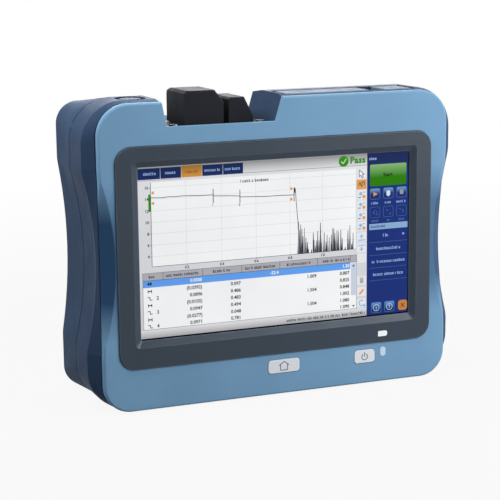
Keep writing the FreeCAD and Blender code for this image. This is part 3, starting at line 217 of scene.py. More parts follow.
def zones(look):
    """Three shares on the front shell: behind the seam's line, the line itself, and the painted shade in
    the thumb scoops.

    The line is where |x| plus a share of the depth passes a limit. On each side that is a flat
    cut, whatever the shape of the shell's own edge. The painted shade in the scoops fades out up and
    down.
    """
    axes = look.axes()
    depth = look.math("SUBTRACT", axes["Y"], cad_low.y)
    moved_in = look.math("MULTIPLY", depth, SEAM_SLOPE)
    reach = look.math("ADD", look.math("ABSOLUTE", axes["X"]), moved_in)
    limit = SEAM_HALF + SEAM_SLOPE * SEAM_DEPTH
    behind = look.math("GREATER_THAN", depth, SEAM_DEPTH + SEAM_MARGIN)
    past = look.math("MULTIPLY", behind, look.math("GREATER_THAN", reach, limit))
    off_line = look.math("ABSOLUTE", look.math("SUBTRACT", reach, limit))
    line = look.math("MULTIPLY", behind, look.math("LESS_THAN", off_line, SEAM_LINE))
    height = look.math("ABSOLUTE", look.math("SUBTRACT", axes["Z"], WAIST))
    fade = look.spread(height, 1.0, 0.0, *SCOOP_SHADE_REACH)
    scoop_shade = look.math("MULTIPLY", fade, look.spread(depth, 0.0, 1.0, *SCOOP_SHADE_DEPTH))
    return past, line, scoop_shade


def moulded(name, colour, rough, grain=0.25, grain_scale=2200, wear_and_highlight=0.25, mottle=0.04, shine=0.35,
            edge_paleness=1.55, edge_reach=0.0006, second=None):
    """Moulded plastic or rubber: spark-eroded grain, slight mottling and paler edges, partly rubbed wear
    and partly painted highlight.

    The wear-and-highlight share is the share of paling on edges sharper than the edge reach, and the
    paleness factor is how much paler they get.
    second is the colour behind the seam's line, on the front shell only.
    """
    look = Look(name)
    tone = look.spread(look.noise(26, 3), 0.0, 1.0, 0.35, 0.65)
    speck = look.spread(look.noise(900, 2), 0.0, 0.12, 0.45, 0.75)
    # paler edges: rubbed wear, and painted highlights where the paleness is strong, as on the bezel
    edge_wear_and_highlight = look.math("MULTIPLY", look.edges(edge_reach), look.spread(look.noise(140, 3), 0.3, 1.0))

    def finish(shade):
        base = look.mix(tone, scaled(shade, 1 - mottle), scaled(shade, 1 + mottle))
        base = look.mix(speck, base, scaled(shade, 0.86))
        return look.mix(look.math("MULTIPLY", edge_wear_and_highlight, wear_and_highlight), base, scaled(shade, edge_paleness))

    base = finish(colour)
    if second:
        past, line, scoop_shade = zones(look)
        # painted shade: the thumb scoops take the darker blue
        base = look.mix(scoop_shade, base, finish(SCOOP_SHADE))
        base = look.mix(line, look.mix(past, base, finish(second)), scaled(second, 0.2))
    look.colour(base)
    look.roughness(look.spread(look.noise(70, 3), rough - 0.05, rough + 0.07))
    grains = look.math("ADD", look.noise(grain_scale, 2), look.cells(grain_scale * 0.7))
    look.bump(grains, grain, 0.00006)
    look.set(Specular_IOR_Level=shine)
    return look.material


def metal(name, colour, rough, stretch=(1, 1, 1), scale=700):
    """Plated, cast or brushed metal, with marks stretched along one axis."""
    look = Look(name)
    marks = look.noise(scale, 4, 0.6, look.stretched(stretch))
    look.colour(look.mix(look.spread(marks, 0.0, 1.0), scaled(colour, 0.82), scaled(colour, 1.08)))
    look.roughness(look.spread(marks, rough - 0.08, rough + 0.12))
    look.bump(marks, 0.15, 0.00004)
    look.set(Metallic=1.0)
    return look.material


def glossy(name, colour, rough):
    """A smooth, hard surface with faint smears in its gloss."""
    look = Look(name)
    smear = look.noise(45, 4, 0.6, look.stretched((1, 1, 0.5)))
    look.colour(look.mix(look.spread(smear, 0.0, 1.0), scaled(colour, 0.94), scaled(colour, 1.06)))
    look.roughness(look.spread(smear, rough, rough + 0.10))
    look.bump(look.noise(300, 2), 0.02, 0.00003)
    look.set(Specular_IOR_Level=0.5)
    return look.material


def board_green(name):
    """Solder mask with tracks and pads."""
    look = Look(name)
    lanes = look.add("ShaderNodeTexBrick")
    lanes.inputs["Scale"].default_value = 220
    lanes.inputs["Mortar Size"].default_value = 0.05
    lanes.inputs["Color1"].default_value = rgb(20, 92, 58)
    lanes.inputs["Color2"].default_value = rgb(16, 80, 50)
    lanes.inputs["Mortar"].default_value = rgb(52, 132, 84)
    look.link(look.stretched((1, 0.001, 1)), lanes.inputs["Vector"])
    cloud = look.spread(look.noise(60, 2), 0.0, 0.4)
    look.colour(look.mix(cloud, lanes.outputs["Color"], rgb(14, 70, 44)))
    look.roughness(look.spread(look.noise(200, 2), 0.32, 0.5))
    look.bump(lanes.outputs["Fac"], 0.2, 0.00004)
    return look.material


def display(name, low, high=None, bottom=0.0, top=1.0, lit=0.84):
    """A lit area of the display: a colour, or a run from low to high between two heights."""
    look = Look(name)
    run = look.spread(look.axes()["Z"], 0.0, 1.0, bottom, top)
    graded = look.mix(run, low, high or low)
    rows = look.add("ShaderNodeTexWave", bands_direction="Z", wave_profile="SIN")
    rows.inputs["Scale"].default_value = 1650
    look.link(look.place, rows.inputs["Vector"])
    lines = look.spread(rows.outputs["Fac"], 0.0, 0.05, 0.0, 1.0)
    uneven = look.spread(look.noise(30, 2), 0.0, 0.05)
    colour = look.mix(look.math("ADD", lines, uneven), graded, rgb(0, 0, 0))
    look.colour(look.mix(0.8, colour, rgb(0, 0, 0)))
    look.link(colour, look.shader.inputs["Emission Color"])
    look.set(Emission_Strength=lit, Specular_IOR_Level=0.03)
    look.roughness(look.spread(look.noise(50, 3), 0.28, 0.40))
    look.bump(look.noise(2500, 1), 0.03, 0.00002)
    return look.material


# ---------------------------------------------------------------- the frame's own pieces

LOOKS = {
    "shell_blue": moulded("shell_blue", BLUE, 0.48, grain=0.22, wear_and_highlight=0.20, shine=0.05, second=SLATE),
    # partly painted shade: the side and rear shells take darker copies of the shell's blue
    "shell_slate": moulded("shell_slate", SLATE, 0.48, grain=0.22, wear_and_highlight=0.30, shine=0.02),
    "shell_slate_rear": moulded("shell_slate_rear", rgb(52, 71, 97), 0.54, grain=0.26, wear_and_highlight=0.30,
                                shine=0.02),
    # painted highlights: the bezel's pale lines along its outer edge and window bevel
    "bezel_grey": moulded("bezel_grey", rgb(52, 62, 73), 0.36, grain=0.16, wear_and_highlight=0.9, shine=0.2,
                          edge_paleness=4.5, edge_reach=0.0011),
    "touch_glass": glossy("touch_glass", rgb(18, 21, 26), 0.10),
    "lcd_metal": metal("lcd_metal", rgb(190, 192, 195), 0.35),
    "key_grey": moulded("key_grey", rgb(214, 217, 224), 0.52, grain=0.12, wear_and_highlight=0.10, mottle=0.02),
    "light_pipe": glossy("light_pipe", rgb(190, 208, 226), 0.22),
    "circuit_board": board_green("circuit_board"),
    "switch_metal": metal("switch_metal", rgb(176, 178, 182), 0.34),
    "port_black": moulded("port_black", rgb(26, 28, 32), 0.50, grain=0.20, wear_and_highlight=0.15, shine=0.1),
    "bright_screw": metal("bright_screw", rgb(182, 184, 189), 0.30, (1, 1, 6)),
    "port_metal": metal("port_metal", rgb(186, 188, 190), 0.28, (1, 1, 14)),
    "ferrule_ceramic": glossy("ferrule_ceramic", rgb(236, 233, 222), 0.16),
    "cap_black": moulded("cap_black", rgb(28, 29, 35), 0.58, grain=0.35, grain_scale=1500, wear_and_highlight=0.25,
                         shine=0.08),
    "pin_steel": metal("pin_steel", rgb(168, 170, 174), 0.30, (14, 1, 1)),
    "meter_cap_grey": moulded("meter_cap_grey", rgb(66, 76, 90), 0.60, wear_and_highlight=0.15, shine=0.1),
    "door_grey": moulded("door_grey", rgb(104, 119, 137), 0.60, shine=0.1),
    "socket_metal": metal("socket_metal", rgb(190, 192, 194), 0.30, (1, 1, 8)),
    "socket_black": moulded("socket_black", rgb(30, 31, 34), 0.46, grain=0.15, wear_and_highlight=0.1),
    "chassis_metal": metal("chassis_metal", rgb(178, 182, 186), 0.38, (1, 1, 10)),
    "module_metal": metal("module_metal", rgb(160, 164, 170), 0.42, scale=300),
    "battery_shell": moulded("battery_shell", rgb(40, 42, 46), 0.42, grain=0.10, wear_and_highlight=0.1),
    "stand_slate": moulded("stand_slate", rgb(62, 76, 96), 0.50, grain=0.28, wear_and_highlight=0.35),
    "foot_rubber": moulded("foot_rubber", rgb(38, 38, 40), 0.74, grain=0.45, grain_scale=1300, wear_and_highlight=0.0),
}
for part in frame["record"]["subparts"]:
    for place in nodes[part["node"]].material_slots:
        place.material = LOOKS[part["material_slot"]]


# ---------------------------------------------------------------- flat outlines, in millimetres

def box(left, right, low, high):
    return [(left, low), (right, low), (right, high), (left, high)]


def upright(x, low, high, width):
    """A narrow box that stands at x."""
    return box(x - width / 2, x + width / 2, low, high)


def level(z, left, right, width):
    """A narrow box that lies at height z."""
    return box(left, right, z - width / 2, z + width / 2)


def rounded(left, right, low, high, radius, steps=4):
    """A rectangle with round corners."""
    spots = []
    for cx, cz, begin in ((right - radius, high - radius, 0), (left + radius, high - radius, 90),
                          (left + radius, low + radius, 180), (right - radius, low + radius, 270)):
        for step in range(steps + 1):
            angle = math.radians(begin + 90 * step / steps)
            spots.append((cx + radius * math.cos(angle), cz + radius * math.sin(angle)))
    return spots


def disc(x, z, radius, steps=28):
    turns = [2 * math.pi * step / steps for step in range(steps)]
    return [(x + radius * math.cos(turn), z + radius * math.sin(turn)) for turn in turns]


def ring_part(x, z, radius, width, begin=0, end=360, steps=24):
    """A band along part of a circle, from one angle to another in degrees, as a list of slabs."""
    def arc(reach):
        turns = [math.radians(begin + (end - begin) * step / steps) for step in range(steps + 1)]
        return [(x + reach * math.cos(turn), z + reach * math.sin(turn)) for turn in turns]

    outer, inner = arc(radius), arc(radius - width)
    return [[outer[n], outer[n + 1], inner[n + 1], inner[n]] for n in range(steps)]


def stroke(points, width):
    """A line of one width through points, as one slab for each run."""
    slabs = []
    for (ax, az), (bx, bz) in zip(points, points[1:]):
        length = math.hypot(bx - ax, bz - az)
        px, pz = -(bz - az) / length * width / 2, (bx - ax) / length * width / 2
        slabs.append([(ax - px, az - pz), (bx - px, bz - pz), (bx + px, bz + pz), (ax + px, az + pz)])
    return slabs


def closed(outline, width):
    """A line of one width all round an outline."""
    return stroke(outline + outline[:1], width)


dice = random.Random(7)


def dashes(left, right, z, tall):
    """A row of small letter-like shapes that stands for a line of unreadable words."""
    outlines = []
    pen, wide, body = tall * 0.19, tall * 0.56, tall * 0.74
    low = z - tall / 2
    x = left
    while x + wide <= right + pen:
        stem = box(x, x + pen, low, low + (tall if dice.random() < 0.3 else body))
        last = box(x + wide - pen, x + wide, low, low + body)
        over = box(x, x + wide, low + body - pen, low + body)
        under = box(x, x + wide, low, low + pen)
        middle = box(x, x + wide, low + (body - pen) / 2, low + (body + pen) / 2)
        outlines += dice.choice(([stem, last, over], [stem, last, over, under], [stem, last, under],
                                 [stem, over, under], [stem, over, under, middle], [stem]))
        x += wide + tall * (0.2 if dice.random() < 0.88 else 0.55)
    return outlines


def words(z, tall, *spans):
    """Rows of letter-like shapes at one height, each given as (left, right)."""
    return [outline for left, right in spans for outline in dashes(left, right, z, tall)]


# ---------------------------------------------------------------- thin pieces

def add_piece(name, mesh, material, body):
    """Makes an object of a mesh under construction, gives it a material, and ties it to a body."""
    bmesh.ops.recalc_face_normals(mesh, faces=mesh.faces[:])
    data = bpy.data.meshes.new(name)
    mesh.to_mesh(data)
    mesh.free()
    made = bpy.data.objects.new(name, data)
    bpy.context.scene.collection.objects.link(made)
    made.data.materials.append(material)
    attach(made, body)


def thin_piece(name, outlines, far, material, body, spot):
    """Flat outlines, each made a closed slab that stands on a surface up to the height far.

    spot turns an outline's pair and a height above the surface into a point in metres.
    """
    mesh = bmesh.new()
    for outline in outlines:
        lower = [mesh.verts.new(spot(a, b, 0.0)) for a, b in outline]
        upper = [mesh.verts.new(spot(a, b, far)) for a, b in outline]
        mesh.faces.new(lower[::-1])
        mesh.faces.new(upper)
        for number in range(len(outline)):
            after = (number + 1) % len(outline)
            mesh.faces.new((lower[number], lower[after], upper[after], upper[number]))
    bmesh.ops.triangulate(mesh, faces=[face for face in mesh.faces if len(face.verts) > 4])
    add_piece(name, mesh, material, body)


glass_low, glass_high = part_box("touch_panel")
SCREEN_X = (glass_low.x + glass_high.x) / 2
SCREEN_Z = (glass_low.z + glass_high.z) / 2
GLASS_Y = glass_low.y
LEFT, RIGHT, TOP, BOTTOM = -75.9, 75.9, 44.1, -44.1   # the picture's edges from its centre
SLIDE = 0.9               # the picture's centre lies right of the glass's
LEFT_BAND = 0.4           # points this near the left edge stay where they are


def on_glass(x, z, rise):
    """A point of the display, in millimetres from the picture's centre; the ground's left edge stays."""
    x = x if x < LEFT + LEFT_BAND else min(x + SLIDE, RIGHT)
    return (SCREEN_X + x * MM, GLASS_Y - rise * MM, SCREEN_Z + z * MM)


def screen_piece(name, outlines, rise, material):
    thin_piece(name, outlines, rise, material, "case", on_glass)


# heights of the display's layers above the glass, in millimetres
BACK, GROUND, AREA, MARK, DETAIL = 0.02, 0.032, 0.04, 0.06, 0.08
TYPE_SIZE = 1.4           # font size for each unit of the height that a row gives


def lettering(name, rows, material, rise=DETAIL, weight=0.03, spacing=1.0):
    """Text on the display: rows of (text, x, z, height, alignment)."""
    mesh = bmesh.new()
    for text, x, z, tall, align in rows:
        curve = bpy.data.curves.new("letters", "FONT")
        curve.body = text
        curve.size = tall * TYPE_SIZE * MM
        curve.align_x = align
        curve.align_y = "CENTER"
        curve.resolution_u = 2
        curve.extrude = rise * MM / 2
        curve.offset = tall * weight * MM
        curve.space_character = spacing
        holder = bpy.data.objects.new("letters", curve)
        bpy.context.scene.collection.objects.link(holder)
        bpy.context.view_layer.update()
        flat = bpy.data.meshes.new_from_object(holder)
        for vertex in flat.vertices:
            sx, sz, up = vertex.co
            vertex.co = on_glass(x + sx / MM, z + sz / MM, rise / 2 + up / MM)
        mesh.from_mesh(flat)
        bpy.data.objects.remove(holder)
        bpy.data.curves.remove(curve)
        bpy.data.meshes.remove(flat)
    add_piece(name, mesh, material, "case")


# ---------------------------------------------------------------- the display: colours and ground

def run_at(low, high, bottom, top, name, lit=0.84):
    """A display colour that runs between two heights given from the display's centre."""
    return display(name, low, high, SCREEN_Z + bottom * MM, SCREEN_Z + top * MM, lit)


INK = display("ui_ink", rgb(46, 48, 54), lit=0.3)
WHITE = display("ui_white", rgb(242, 243, 244))
PALE = run_at(rgb(206, 207, 212), rgb(222, 223, 227), -44, 38, "ui_pale")
NAVY = run_at(rgb(30, 50, 118), rgb(28, 42, 84), 30, 43, "ui_navy")
GRID = display("ui_grid", rgb(215, 222, 221))
ORANGE = run_at(rgb(214, 150, 74), rgb(160, 112, 46), 37.5, 43.5, "ui_orange")
AMBER = display("ui_amber", rgb(222, 156, 88))
GREEN = run_at(rgb(44, 122, 12), rgb(130, 176, 112), 31.0, 37.6, "ui_green")
PASS = display("ui_pass", rgb(54, 138, 22))
ROW = display("ui_row", rgb(98, 158, 236))
HEAD = display("ui_head", rgb(172, 172, 178))
SKY = display("ui_sky", rgb(134, 168, 206))
TILE = display("ui_tile", rgb(82, 114, 162))
SOFT = display("ui_soft", rgb(150, 176, 222))
GRAPHITE = display("ui_graphite", rgb(84, 90, 98), lit=0.3)
STRIP = run_at(rgb(226, 226, 229), rgb(140, 140, 142), 37.5, 44, "ui_strip")
FOOTER = run_at(rgb(166, 166, 170), rgb(222, 222, 225), -43.5, -39.3, "ui_footer")
BLACK = display("ui_black", rgb(12, 13, 16), lit=0.1)

PANEL_LEFT, PANEL_RIGHT = 50.2, 74.7      # the blue panel at the right
PICTURE_LOW = -43.4                       # the lower edge of the picture's lit part
STRIP_LOW, FOOTER_HIGH = 37.6, -39.1      # the strip behind the tabs and the bar below the table

screen_piece("screen_black", [box(LEFT, RIGHT, BOTTOM, TOP)], BACK / 2, BLACK)
screen_piece("screen_ground", [box(LEFT, PANEL_LEFT, PICTURE_LOW, TOP)], BACK, PALE)
screen_piece("screen_strip", [box(LEFT, PANEL_LEFT, STRIP_LOW, TOP - 0.1)], GROUND, STRIP)
screen_piece("screen_footer", [box(LEFT, PANEL_LEFT, PICTURE_LOW, FOOTER_HIGH)], GROUND, FOOTER)
screen_piece("side_panel", [box(PANEL_LEFT, PANEL_RIGHT, PICTURE_LOW, TOP)], GROUND, NAVY)


# ---------------------------------------------------------------- the display: tabs

TABS = [LEFT, -64.75, -53.65, -42.5, -31.25, -20.1]   # the tabs' edges
TAB_LOW, TAB_HIGH, TAB_GAP = 37.9, 43.5, 0.12
CHOSEN_TAB = 2
tabs = [box(a + TAB_GAP, b - TAB_GAP, TAB_LOW, TAB_HIGH) for a, b in zip(TABS, TABS[1:])]
del tabs[CHOSEN_TAB]
screen_piece("tabs", tabs, AREA, NAVY)
chosen_left, chosen_right = TABS[CHOSEN_TAB], TABS[CHOSEN_TAB + 1]
chosen_tab = box(chosen_left + TAB_GAP, chosen_right - TAB_GAP, TAB_LOW, TAB_HIGH + 0.3)
screen_piece("tab_chosen", [chosen_tab], AREA, ORANGE)
names = words(40.8, 1.5, (-73.7, -66.6), (-62.2, -56.4), (-41.2, -32.6), (-30.2, -21.4))
screen_piece("tab_marks", names, MARK, SOFT)
brown = display("ui_brown", rgb(120, 84, 40))
screen_piece("tab_mark_chosen", dashes(-51.6, -44.6, 40.7, 1.5), MARK, brown)


# ---------------------------------------------------------------- the display: graph

GRAPH_LEFT, GRAPH_RIGHT, GRAPH_LOW, GRAPH_HIGH = -70.0, 43.6, -6.5, 36.4
LEVELS = [33.7, 27.9, 21.9, 16.1, 10.3, 4.5, -1.3]    # heights of the grid's lines
COLUMNS = [-51.4, -32.4, -13.3, 5.7, 24.4]            # and their places from left to right
FINE_STEP = 1.16                                      # between the small ticks at the left

graph_ground = box(GRAPH_LEFT, GRAPH_RIGHT, GRAPH_LOW, GRAPH_HIGH)
screen_piece("graph_ground", [graph_ground], GROUND, WHITE)
grid = [level(z, GRAPH_LEFT, GRAPH_RIGHT, 0.22) for z in LEVELS]
grid += [upright(x, GRAPH_LOW, GRAPH_HIGH, 0.22) for x in COLUMNS]
screen_piece("graph_grid", grid, AREA, GRID)
axis = stroke([(GRAPH_LEFT, GRAPH_HIGH), (GRAPH_LEFT, GRAPH_LOW), (GRAPH_RIGHT, GRAPH_LOW)], 0.22)
axis += [level(z, GRAPH_LEFT - 0.9, GRAPH_LEFT, 0.2) for z in LEVELS]
axis += [upright(x, GRAPH_LOW - 0.8, GRAPH_LOW, 0.2) for x in COLUMNS]
fine = [LEVELS[-1] + FINE_STEP * step for step in range(-3, 31)]
axis += [level(z, GRAPH_LEFT - 0.5, GRAPH_LEFT, 0.12) for z in fine if z < GRAPH_HIGH]
screen_piece("graph_axes", axis, MARK, INK)
screen_piece("graph_title", dashes(-21.7, -4.8, 34.0, 1.5), MARK, INK)
shadow = [box(TABS[0], TABS[CHOSEN_TAB], STRIP_LOW - 0.3, STRIP_LOW),
          box(TABS[CHOSEN_TAB + 1], PANEL_LEFT, TAB_LOW, TAB_LOW + 0.3)]
screen_piece("tab_shadow", shadow, AREA, display("ui_shadow", rgb(150, 152, 158)))
ticks = [(str(16 - 2 * n), GRAPH_LEFT - 1.2, z, 1.5, "RIGHT") for n, z in enumerate(LEVELS)]
distances = ("0.2", "0.4", "0.6", "0.8", "1.0")
ticks += [(text, x, GRAPH_LOW - 1.7, 1.4, "CENTER") for text, x in zip(distances, COLUMNS)]
ticks += [("1", -37.0, 23.0, 1.2, "CENTER"), ("2", -22.4, 21.9, 1.2, "CENTER")]
lettering("graph_numbers", ticks, INK)
screen_piece("level_bar", [box(-71.3, -69.95, 21.7, 30.4)], MARK, PASS)


def flag(x, z, way):
    """A small marker with its tip to the left, or to the right where way is -1."""
    tip, root, back, half = x - 0.75 * way, x + 0.1 * way, x + 0.75 * way, 0.75
    return [(tip, z), (root, z - half), (back, z - half), (back, z + half), (root, z + half)][::way]


flags = [flag(-69.0, 31.1, 1), flag(-69.0, 25.8, 1), flag(6.7, 28.3, -1), flag(6.7, 22.8, -1)]
screen_piece("graph_markers", flags, DETAIL, AMBER)

TRACE = [(-70, 28.7), (-64, 28.35), (-61, 28.65), (-57, 28.4), (-54, 28.6), (-47, 28.3), (-44, 28.1),
         (-37.0, 28.0), (-36.4, 27.4), (-28, 26.9), (-22.2, 26.4), (-21.8, 25.9), (-14, 25.5), (-8, 25.2),
         (0, 25.2), (7.9, 24.9), (8.5, 28.5), (8.9, 27.6), (9.2, 22.0), (9.6, 18.0), (9.9, 13.4),
         (10.2, 11.4), (10.4, 6.0)]
trace = stroke(TRACE, 0.34)
trace += [upright(-36.7, 23.9, 31.0, 0.4), upright(-22.1, 22.8, 29.6, 0.4)]
trace += [box(7.9, 8.7, 26.0, 28.8), box(7.9, 8.3, 21.6, 26.0)]
screen_piece("graph_trace", trace, MARK, GRAPHITE)

PEAKS = [(10.6, 10.6), (11.2, 6.2), (11.8, 9.0), (12.5, 6.6), (13.1, 2.8), (13.9, 7.2), (14.8, 2.0),
         (15.6, -0.5), (16.2, -4.4), (18.0, -4.6), (19.0, 4.2), (19.4, 0.4), (20.8, 0.0), (21.5, 4.9),
         (22.3, 0.0), (23.1, 9.2), (23.6, -1.4), (25.3, 3.8), (26.3, -1.4), (26.9, 2.4), (28.2, 1.0),
         (29.4, 2.2), (30.1, 6.0), (30.8, 5.6), (31.5, 3.2), (32.6, 4.3), (33.4, 3.9), (34.9, 4.6),
         (35.7, 0.0), (37.5, -4.9), (39.1, 3.8), (40.2, 6.6), (41.2, -3.4), (42.1, 2.4)]
noise_dark, noise_pale = [], []
for x, z in PEAKS:
    left, right = dice.uniform(0.25, 0.6), dice.uniform(0.2, 0.6)
    noise = noise_dark if dice.random() < 0.6 else noise_pale
    noise.append([(x - left, GRAPH_LOW), (x + right, GRAPH_LOW), (x + 0.16, z), (x - 0.16, z)])
    for _ in range(3):
        shift, share = dice.uniform(-0.8, 0.8), dice.uniform(0.25, 0.7)
        foot = dice.uniform(0.10, 0.25)
        peak = GRAPH_LOW + (z - GRAPH_LOW) * share
        noise = noise_dark if dice.random() < 0.5 else noise_pale
        noise.append([(x + shift - foot, GRAPH_LOW), (x + shift + foot, GRAPH_LOW), (x + shift, peak)])
screen_piece("noise_dark", noise_dark, MARK, GRAPHITE)
screen_piece("noise_pale", noise_pale, MARK * 0.9, display("ui_mist", rgb(124, 128, 134)))


# ---------------------------------------------------------------- the display: table

TABLE_LEFT, TABLE_RIGHT, TABLE_HIGH, TABLE_LOW = -75.2, 44.2, -9.7, -38.9
HEAD_LOW = -13.5                                                # the lower edge of the table's head
TABLE_COLUMNS = [-64.4, -43.0, -21.5, -0.2, 21.4, 40.5]
ROWS = [-19.1, -22.8, -26.4, -30.1, -33.8, -37.3]               # heights of the plain rows
CHOSEN_ROW = -15.3                                              # and of the blue one
FIGURES = [("(0.0392)", "0.097", "1.009", "0.807"), ("0.0896", "0.486", "", "0.825"),
           ("(0.0105)", "0.483", "1.504", "0.848"), ("0.0947", "0.494", "", "1.002"),
           ("(0.0277)", "0.048", "1.504", "1.080"), ("0.0971", "0.781", "", "1.090")]
ENDS = (-43.4, -22.2, 20.8, 39.9)                               # where the columns' figures end
GLYPH_X = -71.6                                                 # the middle of the signs at the left

screen_piece("table_ground", [box(TABLE_LEFT, TABLE_RIGHT, TABLE_LOW, HEAD_LOW + 0.1)], AREA * 0.9, WHITE)
screen_piece("table_head", [box(TABLE_LEFT, TABLE_RIGHT, HEAD_LOW, TABLE_HIGH)], AREA, HEAD)
screen_piece("table_row", [box(TABLE_LEFT, 40.4, -17.1, HEAD_LOW - 0.1)], AREA, ROW)
scroll_blue = display("ui_scroll", rgb(196, 206, 222))
screen_piece("table_scroll", [box(40.9, 43.9, -31.5, -14.0)], AREA, scroll_blue)
arrows = [[(41.5, -15.9), (43.3, -15.9), (42.4, -14.7)], [(41.5, -36.9), (43.3, -36.9), (42.4, -38.1)]]
screen_piece("table_scroll_arrows", arrows, MARK, TILE)
rules = [upright(x, HEAD_LOW, TABLE_HIGH - 0.1, 0.2) for x in TABLE_COLUMNS]
rules += closed([(TABLE_LEFT, TABLE_HIGH), (TABLE_RIGHT, TABLE_HIGH), (TABLE_RIGHT, TABLE_LOW),
                 (TABLE_LEFT, TABLE_LOW)], 0.16)
rules += [level(HEAD_LOW, TABLE_LEFT, TABLE_RIGHT, 0.2)]
screen_piece("table_rules", rules, MARK, GRAPHITE)
heads = words(-11.6, 1.5, (-72.0, -68.6), (-62.8, -45.0), (-37.4, -28.2), (-19.6, -2.2), (3.8, 17.2),
              (24.4, 39.6))
screen_piece("table_head_marks", heads, MARK, INK)
figures = []
for z, row in zip(ROWS, FIGURES):
    figures += [(text, x, z, 1.8, "RIGHT") for text, x in zip(row, ENDS) if text]
figures += [(str(n + 2), -66.8, z, 1.8, "RIGHT") for n, z in enumerate(ROWS[1::2])]
lettering("table_numbers", figures, INK)
row_texts = [("0.0505", ENDS[0]), ("-52.4", -0.9), ("1.20", ENDS[-1])]
lettering("row_numbers", [(text, x, CHOSEN_ROW, 1.7, "RIGHT") for text, x in row_texts], WHITE)
glyphs = [box(-72.9, -70.4, -15.5, -14.8)]
glyphs += [box(-72.3, -71.9, -16.2, -14.2), box(-71.2, -70.8, -16.2, -14.2)]
for number, z in enumerate(ROWS):
    if number % 2 == 0:
        glyphs += [upright(GLYPH_X + side, z - 0.8, z + 0.8, 0.4) for side in (-0.9, 0.9)]
        glyphs += [box(GLYPH_X - 1.1, GLYPH_X + 1.1, z - 0.15, z + 0.35)]
    else:
        glyphs += stroke([(GLYPH_X - 1.3, z + 0.7), (GLYPH_X, z + 0.7), (GLYPH_X, z - 0.7),
                          (GLYPH_X + 1.3, z - 0.7)], 0.36)
screen_piece("table_glyphs", glyphs, DETAIL, INK)
screen_piece("footer_marks", dashes(3.5, 49.6, -41.6, 1.5), MARK, GRAPHITE)


# ---------------------------------------------------------------- the display: verdict in the corner

screen_piece("verdict_disc", [disc(36.5, 40.7, 2.85)], MARK, PASS)
leaf = display("ui_leaf", rgb(206, 226, 196))
screen_piece("verdict_tick", stroke([(35.1, 40.7), (36.2, 39.5), (38.0, 42.0)], 0.5), DETAIL, leaf)
lettering("verdict_word", [("Pass", 40.2, 40.9, 3.5, "LEFT")], PASS, weight=0.06, spacing=1.08)


# ---------------------------------------------------------------- the display: column of tools

TOOLS = [33.4, 27.9, 22.4, 16.7, 11.1, 5.5, -0.3, -6.2, -11.8, -23.9, -30.0, -36.2]
CHOSEN_TOOL = 1
LENSES = TOOLS[2:6]                                             # the four magnifying tools
TOOL_LEFT, TOOL_RIGHT, TOOL_HALF = 44.5, 49.8, 2.45

tiles = [rounded(TOOL_LEFT, TOOL_RIGHT, z - TOOL_HALF, z + TOOL_HALF, 0.5) for z in TOOLS]
del tiles[CHOSEN_TOOL]
screen_piece("tool_tiles", tiles, AREA, display("ui_tool", rgb(228, 229, 233)))
middle = TOOLS[CHOSEN_TOOL]
chosen_tool = rounded(TOOL_LEFT - 0.5, TOOL_RIGHT + 0.1, middle - 2.6, middle + 2.6, 0.3)
screen_piece("tool_chosen", [chosen_tool], AREA, display("ui_tool_on", rgb(220, 158, 88)))
arrow = [(45.6, 35.6), (45.6, 32.0), (46.5, 32.8), (47.3, 31.3), (48.0, 31.7), (47.3, 33.1), (48.6, 33.1)]
tools_dark = closed(arrow, 0.34)
tools_dark += stroke([(45.2, 27.3), (46.0, 29.0), (46.8, 27.0)], 0.4)
tools_dark += stroke([(47.2, 26.6), (47.2, 29.2), (48.6, 29.2), (48.6, 27.4)], 0.4)
for z in LENSES:
    tools_dark += [box(48.0, 48.9, z + 1.1, z + 1.4), box(45.0, 46.6, z - 1.6, z - 1.2)]
screen_piece("tool_arrow", [arrow[::-1]], AREA * 1.2, WHITE)
screen_piece("tool_marks", tools_dark, MARK, GRAPHITE)
tools_blue = [disc(46.5, z + 0.5, 0.95, 16) for z in LENSES]
tools_blue += [[(45.9, -0.1), (48.3, -0.1), (47.1, 1.2)], box(46.7, 47.5, -1.1, -0.1),
               box(45.2, 49.3, -2.3, -1.7)]
tools_blue += [[(48.3, -6.7), (45.9, -6.7), (47.1, -8.0)], box(46.7, 47.5, -6.7, -5.6),
               box(45.2, 49.3, -5.1, -4.6)]
tools_blue += ring_part(47.2, -36.2, 1.8, 0.6, 50, 320)
tools_blue += [[(47.8, -37.0), (49.6, -37.4), (48.9, -38.9)]]
screen_piece("tool_symbols", tools_blue, MARK, display("ui_blue", rgb(140, 184, 226)))
bin_shape = [box(46.2, 48.2, -25.4, -22.9), box(45.9, 48.5, -22.7, -22.3)]
screen_piece("tool_bin", bin_shape, MARK, display("ui_bin", rgb(166, 168, 174)))
tools_amber = [disc(48.4, z - 1.1, 0.95, 16) for z in LENSES]
tools_amber += stroke([(45.9, -31.4), (48.4, -28.9)], 1.1)
screen_piece("tool_accents", tools_amber, DETAIL, AMBER)


# ---------------------------------------------------------------- the display: side panel

TILES_X, LOW_X = (54.9, 62.8, 70.7), (56.0, 63.9)               # middles of the tiles
TILE_HALF = 2.9
TILES_Z, FAINT_Z, LOW_Z = (19.5, 25.1), (9.5, 15.2), (-42.4, -36.8)   # lower and upper edges


def tile(x, heights, radius=0.8, steps=4):
    return rounded(x - TILE_HALF, x + TILE_HALF, *heights, radius, steps)


screen_piece("start_button", [rounded(51.9, 73.5, 26.4, 38.0, 0.8)], MARK, GREEN)
moss = display("ui_moss", rgb(24, 62, 18), lit=0.2)
lettering("start_word", [("Start", 62.4, 32.2, 2.0, "CENTER")], moss, rise=DETAIL * 1.1)

